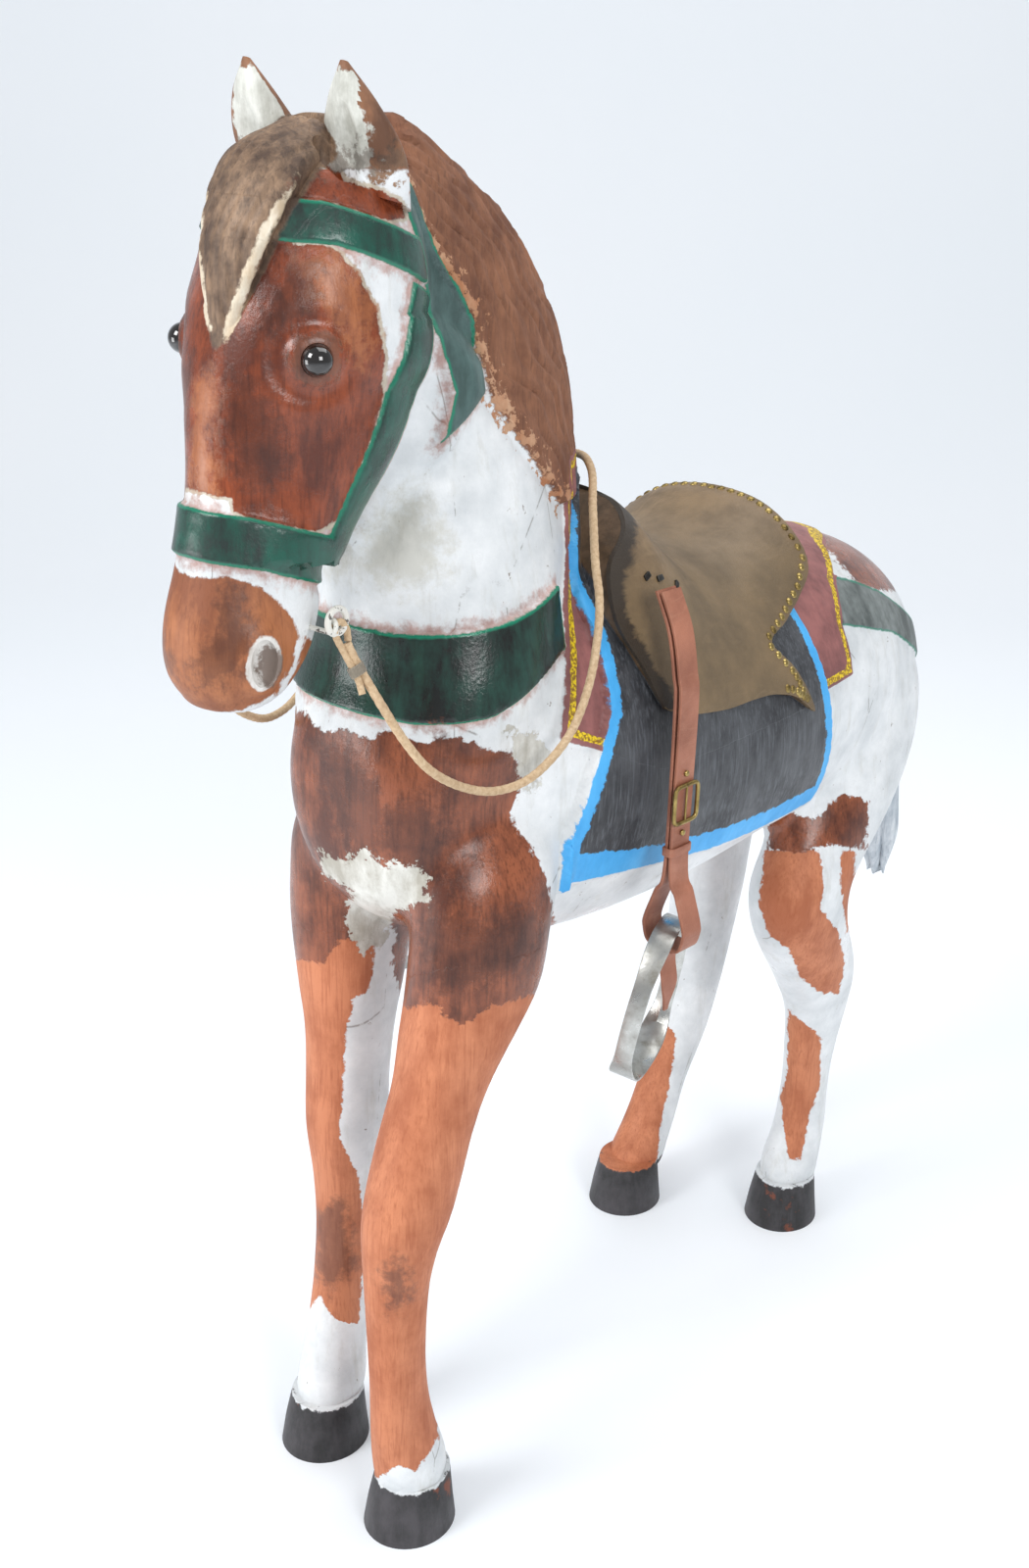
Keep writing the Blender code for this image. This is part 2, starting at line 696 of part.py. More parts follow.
def make_stirrup(name, side):
    """Cast band bent to a rounded arch, wider at the tread."""
    outer = []
    for k in range(STIRRUP_POINTS):
        angle = 2 * pi * k / STIRRUP_POINTS
        across = STIRRUP_WIDTH / 2 * signed_power(sin(angle), STIRRUP_SQUARENESS)
        up = STIRRUP_HEIGHT / 2 * signed_power(cos(angle), STIRRUP_SQUARENESS)
        outer.append((across * (1 - STIRRUP_TAPER * cos(angle)), up))
    narrow = 1 - 2 * STIRRUP_WALL / STIRRUP_WIDTH
    low = 1 - 2 * STIRRUP_WALL / STIRRUP_HEIGHT
    inner = [(across * narrow, up * low) for across, up in outer]
    band = extruded(name, [outer, inner], STIRRUP_BAND)
    hung = Matrix.Translation((0, -STIRRUP_HEIGHT / 2, 0))
    turn = Matrix.Rotation(pi / 2, 4, "Y")
    lean = Matrix.Rotation(-STIRRUP_LEAN, 4, "Z")
    band.data.transform(lean @ hung @ turn)
    return hanging(band, side, STIRRUP_TOP, STIRRUP_TURN)


def strap_outlines():
    """Outer and inner outline of the folded strap: outwards, up from the stirrup's top."""
    thick = STRAP_THICKNESS
    rise = (STRAP_TOP - STIRRUP_TOP) * FIGURE_UNIT
    half = STIRRUP_BAND / 2 + STRAP_SPREAD
    low = -STIRRUP_WALL - STRAP_DROP
    split = low + STRAP_SPLIT
    face = thick + STRAP_SLACK / 4
    lean = [(out * FIGURE_UNIT, rise + up * FIGURE_UNIT) for out, up in STRAP_LEAN]
    front = [(out + face, up) for out, up in lean]
    back = [(out - face, up) for out, up in reversed(lean)]
    spread = [(face, split), (half * 0.55 + thick, low + STRAP_SPLIT / 2), (half + thick, 0)]
    under = [(half + thick * 0.6, low - thick * 0.7), (half * 0.6, low - thick)]
    near = spread + under
    outer = front + near + [(-out, up) for out, up in reversed(near)] + back
    slit = [(STRAP_SLACK / 4, split), (half * 0.55, low + STRAP_SPLIT / 2), (half, 0), (half, low)]
    top = (STRAP_SLACK / 4, lean[-1][1])
    inner = [top] + slit + [(-out, up) for out, up in reversed([top] + slit)]
    return outer, inner


def make_strap(name, side):
    return hanging(extruded(name, strap_outlines(), STRAP_WIDTH), side, STIRRUP_TOP, STRAP_TURN)


def make_buckle(name, side):
    """Wire frame and prong over the outer layer of the strap."""
    half_width = STRAP_WIDTH / 2 + BUCKLE_WIRE + STRAP_SLACK / 4
    half_height = BUCKLE_HEIGHT / 2
    out = STRAP_THICKNESS + STRAP_SLACK / 4 + BUCKLE_WIRE + CLEARANCE
    corners = [
        (out, half_height, -half_width), (out, half_height, half_width),
        (out, -half_height, half_width), (out, -half_height, -half_width),
    ]
    buckle = meshed(tube(name, corners, 2 * BUCKLE_WIRE, cyclic=True))
    bpy.ops.mesh.primitive_cylinder_add(
        vertices=8, radius=BUCKLE_WIRE * 0.8, depth=BUCKLE_HEIGHT, location=(out, 0, 0),
        rotation=(pi / 2, 0, 0),
    )
    combine(buckle, placed(bpy.context.object, "prong"), "UNION")
    return hanging(buckle, side, BUCKLE_LEVEL, STRAP_TURN)


def linear(colour):
    """Base colour from the sRGB hex form."""
    parts = [int(colour[i : i + 2], 16) / 255 for i in (1, 3, 5)]
    return [part / 12.92 if part <= 0.04045 else ((part + 0.055) / 1.055) ** 2.4 for part in parts]


def finish(name, colour, roughness, metallic=0.0):
    material = bpy.data.materials.new(name)
    material.use_nodes = True
    shader = material.node_tree.nodes["Principled BSDF"]
    shader.inputs["Base Color"].default_value = (*linear(colour), 1)
    shader.inputs["Roughness"].default_value = roughness
    shader.inputs["Metallic"].default_value = metallic
    return material


def dress():
    """Gives each piece its finish and smooth shading, and puts it in the horse's collection."""
    finishes = {
        "horse": finish("painted_wood", "#8A4A2E", 0.45),
        "saddle": finish("saddle_leather", "#857158", 0.6),
        "eye": finish("dark_glass", "#14100E", 0.08),
        "bit": finish("white_painted_steel", "#D8D6CE", 0.5),
        "rein": finish("cotton_rope", "#CDB48C", 0.9),
        "stirrup_strap": finish("strap_leather", "#B5735A", 0.65),
        "stirrup_buckle": finish("aged_brass", "#8E7A3C", 0.4, metallic=1.0),
        "stirrup": finish("cast_aluminium", "#A8A8A4", 0.4, metallic=1.0),
    }
    collection = bpy.data.collections.new("carousel_horse")
    bpy.context.scene.collection.children.link(collection)
    for piece in list(bpy.context.scene.collection.objects):
        bpy.context.scene.collection.objects.unlink(piece)
        collection.objects.link(piece)
        start = max((key for key in finishes if piece.name.startswith(key)), key=len)
        piece.data.materials.clear()
        piece.data.materials.append(finishes[start])
        if piece.type == "MESH":
            piece.data.shade_smooth()
            piece.data.set_sharp_from_angle(angle=SHARP_ANGLE)


def main():
    clear_scene()
    horse = make_horse()
    make_saddle(horse)
    make_eyes(horse)
    make_bit_rings(horse)
    make_rein()
    for side, suffix in ((1, "left"), (-1, "right")):
        make_stirrup("stirrup_" + suffix, side)
        make_strap("stirrup_strap_" + suffix, side)
        make_buckle("stirrup_buckle_" + suffix, side)
    dress()


if __name__ == "__main__":
    main()
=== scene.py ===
from math import cos, pi, radians, sin, tau

import bmesh
import bpy
import numpy as np
from mathutils import Matrix, Vector
from mathutils.bvhtree import BVHTree


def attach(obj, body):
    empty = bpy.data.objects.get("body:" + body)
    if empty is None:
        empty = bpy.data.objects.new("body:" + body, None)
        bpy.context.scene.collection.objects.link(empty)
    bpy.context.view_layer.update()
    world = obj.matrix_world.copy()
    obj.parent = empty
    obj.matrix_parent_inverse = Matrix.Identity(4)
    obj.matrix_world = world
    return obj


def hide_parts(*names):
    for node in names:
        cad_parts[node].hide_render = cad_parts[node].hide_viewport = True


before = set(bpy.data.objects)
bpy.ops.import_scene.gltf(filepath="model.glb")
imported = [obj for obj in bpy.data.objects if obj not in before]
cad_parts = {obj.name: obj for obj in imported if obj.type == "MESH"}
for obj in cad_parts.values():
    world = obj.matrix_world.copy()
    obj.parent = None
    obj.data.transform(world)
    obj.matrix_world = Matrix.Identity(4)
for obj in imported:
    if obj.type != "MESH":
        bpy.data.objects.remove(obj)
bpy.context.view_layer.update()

body = "root"            # the only one: nothing on the horse has a joint
mm = 0.001

# The camera, as the photograph was taken: metres and degrees.
photoView = {
    "azimuth": 38.1,
    "elevation": 21.9,
    "roll": 1.78,
    "place": (1.055, -1.563, 1.422),
    "focalPixels": 1850,
    "frame": (1050, 1600),
}


def viewAxes():
    turn, down, roll = (radians(photoView[key]) for key in ("azimuth", "elevation", "roll"))
    ahead = Vector((-sin(turn) * cos(down), cos(turn) * cos(down), -sin(down)))
    level = Vector((cos(turn), sin(turn), 0))
    steep = level.cross(ahead)
    right = level * cos(roll) + steep * sin(roll)
    up = steep * cos(roll) - level * sin(roll)
    return right, up, ahead


def makeCamera():
    right, up, ahead = viewAxes()
    bpy.ops.object.camera_add()
    camera = bpy.context.object
    camera.name = "photoCamera"
    turned = Matrix((right, up, -ahead)).transposed().to_4x4()
    turned.translation = photoView["place"]
    camera.matrix_world = turned
    camera.data.sensor_fit = "VERTICAL"
    camera.data.sensor_height = 36
    camera.data.lens = photoView["focalPixels"] * camera.data.sensor_height / photoView["frame"][1]
    camera.data.clip_end = 60
    bpy.context.scene.camera = camera


# Helpers for colours, nodes and meshes

def toLinear(hexColour):
    parts = [int(hexColour[at:at + 2], 16) / 255 for at in (1, 3, 5)]
    return [part / 12.92 if part <= 0.04045 else ((part + 0.055) / 1.055) ** 2.4 for part in parts]


def addNode(tree, kind, *inputs, out=0, **more):
    # Values fill the first sockets; a capital letter names a socket, a small one a setting.
    node = tree.nodes.new("ShaderNode" + kind)
    for key, value in more.items():
        if key[0].islower():
            setattr(node, key, value)
    named = [(key, value) for key, value in more.items() if key[0].isupper()]
    for key, value in [*enumerate(inputs), *named]:
        socket = node.inputs[key]
        if isinstance(value, bpy.types.NodeSocket):
            tree.links.new(value, socket)
        elif isinstance(value, str):
            socket.default_value = (*toLinear(value), 1)
        elif socket.type == "RGBA":
            socket.default_value = (value, value, value, 1)
        else:
            socket.default_value = value
    return node.outputs[out]


def blend(tree, mask, low, high, under, over, most=1):
    # Two colours mixed by a mask, which is stretched between two of its values.
    share = addNode(tree, "MapRange", mask, low, high, 0, most)
    return addNode(tree, "MixRGB", share, under, over)


def startMaterial(name, roughness=0.5, metallic=0.0):
    material = bpy.data.materials.new(name)
    material.use_nodes = True
    tree = material.node_tree
    shader = tree.nodes["Principled BSDF"]
    shader.inputs["Roughness"].default_value = roughness
    shader.inputs["Metallic"].default_value = metallic
    place = addNode(tree, "TexCoord", out="Object")
    return material, tree, shader, place


def wire(tree, shader, **outputs):
    for key, value in outputs.items():
        tree.links.new(value, shader.inputs[key.replace("_", " ")])


def selectOnly(thing):
    bpy.ops.object.select_all(action="DESELECT")
    thing.select_set(True)
    bpy.context.view_layer.objects.active = thing


def applyModifier(thing, kind, **settings):
    modifier = thing.modifiers.new(kind, kind)
    for key, value in settings.items():
        setattr(modifier, key, value)
    selectOnly(thing)
    bpy.ops.object.modifier_apply(modifier=modifier.name)
    return thing


def meshObject(name, corners, faces):
    mesh = bpy.data.meshes.new(name)
    mesh.from_pydata([tuple(corner) for corner in corners], [], faces)
    thing = bpy.data.objects.new(name, mesh)
    bpy.context.scene.collection.objects.link(thing)
    return outwards(thing)


def outwards(thing):
    work = bmesh.new()
    work.from_mesh(thing.data)
    bmesh.ops.recalc_face_normals(work, faces=work.faces)
    work.to_mesh(thing.data)
    work.free()
    return thing


def joined(things, name):
    selectOnly(things[0])
    for thing in things:
        thing.select_set(True)
    if len(things) > 1:
        bpy.ops.object.join()
    things[0].name = name
    things[0].data.name = name
    return things[0]


def settled(thing):
    # Takes the object's place into its mesh.
    selectOnly(thing)
    bpy.ops.object.transform_apply(location=True, rotation=True, scale=True)
    return thing


def catmullRom(rows, steps, closed=False):
    rows = np.array(rows, float)
    if closed:
        ends = np.vstack([rows[-1], rows, rows[0], rows[1]])
    else:
        ends = np.vstack([2 * rows[0] - rows[1], rows, 2 * rows[-1] - rows[-2]])
    found = []
    for start in range(len(ends) - 3):
        a, b, c, d = ends[start:start + 4]
        for t in np.arange(steps) / steps:
            bend = 2 * a - 5 * b + 4 * c - d
            twist = 3 * b - a - 3 * c + d
            found.append(0.5 * (2 * b + (c - a) * t + bend * t**2 + twist * t**3))
    if not closed:
        found.append(rows[-1])
    return np.array(found)


def evenly(line, spacing):
    # The line again, with its points an even distance apart.
    line = np.array(line, float)
    steps = np.linalg.norm(np.diff(line, axis=0), axis=1)
    along = np.concatenate([[0], np.cumsum(steps)])
    wanted = np.linspace(0, along[-1], max(2, int(round(along[-1] / spacing)) + 1))
    return np.stack([np.interp(wanted, along, column) for column in line.T], axis=1)


def skinned(name, rings, closed=False):
    # Solid through rings of points; the first and last are capped, or joined when closed.
    count, sides = len(rings), len(rings[0])
    faces = []
    for ring in range(count if closed else count - 1):
        after = (ring + 1) % count
        for side in range(sides):
            beside = (side + 1) % sides
            faces.append((ring * sides + side, ring * sides + beside,
                          after * sides + beside, after * sides + side))
    if not closed:
        faces += [tuple(reversed(range(sides))), tuple(range((count - 1) * sides, count * sides))]
    return meshObject(name, np.array(rings).reshape(-1, 3), faces)


def loft(name, stations, steps=6, sides=40, offset=(0, 0)):
    # Stations, in millimetres: x, y, z, half width, half depth, tilt from +Y, taper.
    angles = np.arange(sides) * tau / sides
    rings = []
    for x, y, z, halfWidth, halfDepth, tilt, taper in catmullRom(stations, steps):
        wide = halfWidth * np.cos(angles) * (1 + taper * np.sin(angles))
        far = halfDepth * np.sin(angles)
        rings.append(mm * np.stack([x + offset[0] + wide, y + offset[1] + far * cos(radians(tilt)),
                                    z + far * sin(radians(tilt))], axis=1))
    return skinned(name, rings)


def mirrored(stations):
    return [(-x, *rest) for x, *rest in stations]


def prism(name, outline, halfWidth=300):
    rings = [[(side * halfWidth * mm, y * mm, z * mm) for y, z in outline] for side in (-1, 1)]
    return skinned(name, rings)


def combine(thing, other, operation):
    applyModifier(thing, "BOOLEAN", operation=operation, solver="MANIFOLD", object=other)
    bpy.data.objects.remove(other, do_unlink=True)
    return thing


def read(thing, what="co"):
    flat = np.empty(len(thing.data.vertices) * 3, np.float32)
    thing.data.vertices.foreach_get(what, flat)
    return flat.reshape(-1, 3).astype(float)


def movePoints(thing, points):
    thing.data.vertices.foreach_set("co", points.astype(np.float32).ravel())
    thing.data.update()


def lineDistance(points, line):
    # Distance of points to a line through corners, in two or three dimensions.
    line = np.array(line, float)
    nearest = np.full(len(points), 1e9)
    for start, end in zip(line, line[1:]):
        edge = end - start
        share = np.clip((points - start) @ edge / max(edge @ edge, 1e-12), 0, 1)
        away = np.linalg.norm(points - start - share[:, None] * edge, axis=1)
        nearest = np.minimum(nearest, away)
    return nearest


def depthInside(points, outline):
    # Distance of 2-D points to a closed outline, positive inside it.
    outline = np.array(outline, float)
    inside = np.zeros(len(points), bool)
    for start, end in zip(outline, np.roll(outline, -1, axis=0)):
        crosses = (start[1] > points[:, 1]) != (end[1] > points[:, 1])
        rise = end[1] - start[1] or 1e-12
        reach = start[0] + (points[:, 1] - start[1]) * (end[0] - start[0]) / rise
        inside ^= crosses & (points[:, 0] < reach)
    nearest = lineDistance(points, np.vstack([outline, outline[:1]]))
    return np.where(inside, nearest, -nearest)


def eased(value, low, high):
    share = np.clip((value - low) / (high - low), 0, 1)
    return share * share * (3 - 2 * share)


def onLeft(points):
    # The points, with those of the right side mirrored to the left.
    return np.column_stack([np.abs(points[:, 0]), points[:, 1:]])


def seenAt(points):
    # Where points fall in the photograph's frame, in its pixels, and how far off they are.
    right, up, ahead = (np.array(axis) for axis in viewAxes())
    away = points - np.array(photoView["place"])
    depth = away @ ahead
    across = photoView["frame"][0] / 2 + photoView["focalPixels"] * (away @ right) / depth
    down = photoView["frame"][1] / 2 - photoView["focalPixels"] * (away @ up) / depth
    return np.stack([across, down], axis=1), depth


def storeField(thing, name, values):
    field = thing.data.attributes.new(name, "FLOAT", "POINT")
    field.data.foreach_set("value", np.asarray(values, np.float32))


def shadeBy(thing, angle):
    selectOnly(thing)
    bpy.ops.object.shade_smooth_by_angle(angle=radians(angle))


def dressed(thing, material, slotName, *nodes):
    thing.data.materials.clear()
    thing.data.materials.append(material)
    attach(thing, body)
    if nodes:
        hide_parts(*nodes)
    return thing


makeCamera()
print("camera ready")

# Rein: a limp rope from one bit ring over the withers to the other, in millimetres.
rein = {
    "diameter": 8,
    "strands": 3,
    "lay": 26,               # length of one full twist of the strands
    "bitPlace": (70, -546, 993),
    "top": (0, -146, 1064),
    "left": [
        (72, -537, 973), (80, -532, 954), (97, -524, 924), (112, -510, 890), (122, -488, 860),
        (130, -452, 836), (140, -417, 826), (149, -379, 832), (156, -340, 860), (156, -314, 899),
        (150, -295, 940), (140, -281, 971), (125, -269, 1000), (98, -239, 1038), (56, -188, 1064),
    ],
    "furrow": 0.08,          # depth between the strands, as a share of the radius
    "eyeDiameter": 6.2,
    "whippingTurns": 9,
    # The thread that binds each end, in metres: length along the rope, inset and radii.
    "whippingLength": 0.009, "whippingInset": 0.0032, "whippingWide": 0.0078,
    "whippingDeep": 0.0050, "thread": 0.0012,
}


def twistedRope(name, line, diameter, strands, lay, sides=18, spacing=0.0022):
    # Tube whose lobed section turns along the line, as laid strands do.
    line = evenly(line, spacing)
    tangents = np.gradient(line, axis=0)
    tangents /= np.linalg.norm(tangents, axis=1)[:, None]
    side = np.cross(tangents[0], (0.3, 0.2, 1.0))
    angles = np.arange(sides) * tau / sides
    rings, along = [], 0.0
    for index, (spot, ahead) in enumerate(zip(line, tangents)):
        side = side - ahead * (side @ ahead)
        side /= np.linalg.norm(side)
        other = np.cross(ahead, side)
        along += np.linalg.norm(spot - line[max(index - 1, 0)])
        lobes = 1 - rein["furrow"] * np.abs(np.sin((angles - tau * along / lay) * strands / 2)) ** 3
        reach = diameter / 2 * lobes
        rings.append(spot + np.outer(reach * np.cos(angles), side)
                     + np.outer(reach * np.sin(angles), other))
    return skinned(name, rings), line


def makeRein(rope, thread):
    route = rein["left"] + [rein["top"]] + list(reversed(mirrored(rein["left"])))
    main, line = twistedRope("reinRope", catmullRom(route, 8) * mm, rein["diameter"] * mm,
                             rein["strands"], rein["lay"] * mm)
    shadeBy(main, 70)
    dressed(main, rope, "rope", "rein")
    ends = []
    for side, word in ((1, "left"), (-1, "right")):
        ring = np.array(rein["bitPlace"]) * mm * (side, 1, 1)
        path = line if side > 0 else line[::-1]
        start, further = path[0], path[13]
        away = (start - ring) * (0, 1, 1)
        away /= np.linalg.norm(away)
        beside = np.array([float(side), 0, 0])
        ahead = np.cross(beside, away)
        # The eye: up from the rope's end, round the ring's wire and back down beside the rope.
        eye = [start - beside * 0.001 + ahead * 0.003, ring + away * 0.012 + ahead * 0.0065,
               ring + away * 0.0035 + ahead * 0.004, ring + away * 0.0015 - ahead * 0.0005,
               ring + away * 0.004 - ahead * 0.005, ring + away * 0.013 - ahead * 0.0065,
               start - ahead * 0.0062 + (start - ring) * 0.25, further - ahead * 0.0065,
               further - ahead * 0.0095 + (further - start) * 0.45]
        loop, _ = twistedRope("reinEye_" + word, catmullRom(eye, 8), rein["eyeDiameter"] * mm,
                              rein["strands"], 0.02, sides=14)
        # Thread whipping that binds the end to the rope.
        middle = start * 0.175 + further * 0.825
        run = (further - start) / np.linalg.norm(further - start)
        wide = ahead - run * (ahead @ run)
        wide /= np.linalg.norm(wide)
        deep = np.cross(run, wide)
        coil = []
        for turn in np.linspace(0, rein["whippingTurns"], rein["whippingTurns"] * 16 + 1):
            centre = middle + run * (turn / rein["whippingTurns"] - 0.5) * rein["whippingLength"] \
                - wide * rein["whippingInset"]
            coil.append(centre + wide * rein["whippingWide"] * cos(tau * turn)
                        + deep * rein["whippingDeep"] * sin(tau * turn))
        bound, _ = twistedRope("reinWhipping_" + word, coil, rein["thread"], 2, 0.004, sides=6,
                               spacing=0.0012)
        shadeBy(loop, 70)
        shadeBy(bound, 60)
        ends += [dressed(loop, rope, "rope", "rein_eye_" + word), dressed(bound, thread, "rope")]


def laidCottonRope():
    # Laid cotton: matt, soiled where hands held it, with fibres along the strands.
    material, tree, shader, place = startMaterial("laidCottonRope", roughness=0.88)
    fibres = addNode(tree, "TexNoise", Vector=place, Scale=260, Detail=5, Roughness=0.7)
    soil = addNode(tree, "TexNoise", Vector=place, Scale=14, Detail=3)
    colour = blend(tree, fibres, 0.3, 0.72, "#B0916F", "#DCC3A0")
    colour = blend(tree, soil, 0.5, 0.75, colour, "#8E7558", 0.45)
    bump = addNode(tree, "Bump", Strength=0.5, Distance=0.0006, Height=fibres)
    wire(tree, shader, Base_Color=colour, Normal=bump)
    return material


def waxedThread():
    # Waxed grey thread: a little smoother than the rope.
    material, tree, shader, place = startMaterial("waxedThread", roughness=0.7)
    fibres = addNode(tree, "TexNoise", Vector=place, Scale=500, Detail=3)
    wire(tree, shader, Base_Color=addNode(tree, "MixRGB", fibres, "#6F675C", "#A59B8A"))
    return material


makeRein(laidCottonRope(), waxedThread())

# The carved figure, in millimetres. A station of a loft: x, y, z, half width, half depth,
# tilt from +Y in degrees, and a taper that widens it towards the far end of its depth.
figure = {
    "trunk": [(0, y, z, wide, deep, 90, 0) for y, z, wide, deep in [
        (-472, 796, 50, 60), (-455, 797, 82, 108), (-415, 799, 103, 145), (-360, 802, 121, 180),
        (-280, 790, 142, 199), (-180, 780, 158, 206), (-60, 757, 167, 188), (60, 751, 170, 178),
        (180, 753, 168, 175), (290, 747, 158, 168), (370, 738, 140, 154), (430, 728, 116, 132),
        (480, 714, 84, 102), (512, 704, 44, 56),
    ]],
    "neck": [(0, *row) for row in [
        (-430, 1296, 46, 78, 75, -0.2), (-398, 1235, 58, 113, 63, -0.25),
        (-360, 1171, 68, 144, 49, -0.3), (-327, 1090, 80, 160, 38, -0.35),
        (-314, 1008, 96, 162, 31, -0.45), (-318, 930, 112, 168, 28, -0.45),
        (-310, 854, 118, 170, 26, -0.3),
    ]],
    "head": [(0, *row) for row in [
        (-462, 1360, 28, 32, 162, 0), (-480, 1337, 58, 60, 162, 0), (-492, 1284, 83, 87, 162, 0),
        (-505, 1219, 89, 101, 163, 0), (-530, 1154, 77, 93, 163, -0.1),
        (-557, 1084, 58, 72, 164, -0.1), (-575, 1029, 52, 66, 165, 0), (-591, 979, 55, 66, 166, 0),
        (-606, 942, 49, 50, 167, 0), (-610, 919, 28, 30, 168, 0),
    ]],
    "frontLeft": [(*row, 0, 0) for row in [
        (70, -340, 800, 30, 50), (86, -360, 735, 55, 84), (93, -380, 664, 59, 76),
        (92, -388, 609, 58, 74), (90, -407, 564, 52, 64), (88, -427, 519, 45, 52),
        (86, -446, 473, 44, 48), (84, -460, 425, 44, 48), (82, -470, 384, 42, 47),
        (80, -478, 342, 36, 38), (78, -479, 284, 31, 33), (76, -474, 196, 29, 31),
        (76, -466, 129, 31, 37), (76, -456, 85, 36, 42), (76, -452, 50, 36, 40),
    ]],
    "frontRight": [(*row, 0, 0) for row in [
        (-70, -330, 800, 30, 50), (-84, -345, 735, 52, 84), (-91, -354, 664, 57, 76),
        (-92, -358, 609, 56, 70), (-88, -365, 544, 50, 60), (-86, -370, 494, 45, 50),
        (-84, -376, 439, 43, 46), (-82, -380, 384, 42, 46), (-80, -384, 324, 35, 37),
        (-78, -388, 264, 31, 33), (-77, -396, 194, 30, 32), (-76, -405, 129, 32, 36),
        (-76, -412, 79, 36, 41), (-76, -418, 50, 36, 40),
    ]],
    "hindLeft": [(*row, 0, 0) for row in [
        (70, 350, 800, 50, 70), (88, 340, 735, 62, 100), (102, 312, 664, 62, 112),
        (110, 268, 600, 58, 108), (112, 232, 556, 55, 94), (112, 200, 517, 54, 82),
        (108, 215, 456, 50, 76), (100, 277, 368, 45, 68), (95, 303, 307, 36, 54),
        (92, 303, 249, 31, 43), (90, 303, 189, 30, 35), (89, 301, 130, 32, 40),
        (89, 284, 78, 36, 43), (89, 280, 50, 36, 41),
    ]],
    "hindRight": [(*row, 0, 0) for row in [
        (-70, 360, 800, 50, 70), (-88, 360, 735, 62, 105), (-98, 362, 654, 60, 112),
        (-103, 358, 570, 54, 96), (-102, 345, 484, 46, 72), (-100, 336, 404, 44, 60),
        (-100, 324, 332, 40, 56), (-98, 308, 264, 36, 50), (-95, 278, 201, 34, 46),
        (-92, 241, 144, 30, 40), (-90, 213, 95, 33, 40), (-89, 190, 64, 36, 42),
        (-89, 180, 45, 36, 40),
    ]],
    "tail": [(0, *row, 0) for row in [
        (460, 800, 18, 16, 45), (528, 782, 22, 20, 35), (582, 712, 25, 26, 15),
        (614, 640, 26, 27, 0), (618, 560, 25, 26, 0), (620, 480, 25, 26, 0), (625, 420, 28, 28, 0),
        (630, 366, 26, 26, 0),
    ]],
    "forelock": [(0, *row, 0) for row in [
        (-492, 1362, 30, 24, 150), (-547, 1339, 42, 22, 150), (-582, 1292, 37, 17, 160),
        (-600, 1243, 26, 13, 165), (-607, 1206, 13, 9, 168), (-606, 1176, 3, 4, 170),
    ]],
    "ear": [(*row, 160, 0) for row in [
        (46, -478, 1312, 30, 24), (50, -491, 1352, 32, 24), (52, -505, 1386, 20, 15),
        (52, -515, 1414, 3, 3),
    ]],
    "earHollow": [(*row, 160, 0) for row in [
        (48, -516, 1328, 14, 9), (51, -521, 1352, 20, 15), (53, -526, 1380, 12, 12),
        (53, -526, 1402, 2, 2),
    ]],
    "hoof": [(0, 0, 62, 37, 41, 0, 0), (0, -3, 30, 42, 46, 0, 0), (0, -4, 0, 46, 50, 0, 0)],
    "hoofCentres": [(76, -450), (-76, -419), (89, 276), (-89, 168)],
}

# Side-view outlines (y, z) of what is carved proud of the body.
carved = {
    "mane": [
        (-500, 1338), (-461, 1327), (-428, 1275), (-375, 1212), (-358, 1154), (-328, 1110),
        (-262, 1043), (-205, 1036), (-172, 1062), (-120, 1090), (-120, 1500), (-500, 1500),
    ],
    "browband": [
        (-660, 1324), (-545, 1317), (-448, 1284), (-446, 1250), (-545, 1286), (-660, 1295),
    ],
    "crownpiece": [
        (-470, 1331), (-446, 1326), (-420, 1278), (-373, 1215), (-366, 1157), (-421, 1118),
        (-409, 1161), (-429, 1233), (-448, 1262),
    ],
    "cheekStrap": [(-474, 1256), (-432, 1240), (-512, 1040), (-546, 1056)],
    "noseband": [
        (-700, 1100), (-610, 1084), (-534, 1059), (-470, 1046), (-470, 1004), (-529, 1014),
        (-609, 1043), (-700, 1062),
    ],
    "collar": [
        (-502, 955), (-440, 955), (-380, 962), (-290, 978), (-290, 920), (-350, 902),
        (-400, 884), (-450, 878), (-502, 885),
    ],
    "underBlanket": [
        (-320, 845), (-300, 900), (-272, 960), (-245, 1000), (-235, 1080), (330, 1080),
        (312, 906), (262, 905), (205, 880), (176, 848), (172, 795), (60, 790), (-200, 790),
    ],
    "blanket": [
        (-190, 1060), (-243, 999), (-253, 977), (-255, 934), (-263, 862), (-292, 803), (-325, 695),
        (-209, 683), (-83, 667), (15, 661), (122, 658), (120, 690), (95, 850), (92, 907),
        (90, 1060),
    ],
    "crupper": [
        (150, 905), (240, 882), (300, 858), (425, 790), (530, 722), (530, 690), (410, 758),
        (300, 812), (185, 845), (150, 850),
    ],
    # The dark field of the blanket, inside its painted border.
    "blanketField": [
        (-178, 1080), (-231, 1003), (-240, 977), (-242, 934), (-250, 862), (-276, 806),
        (-300, 726), (-209, 708), (-83, 691), (15, 685), (104, 684), (80, 850), (77, 907),
        (75, 1080),
    ],
}

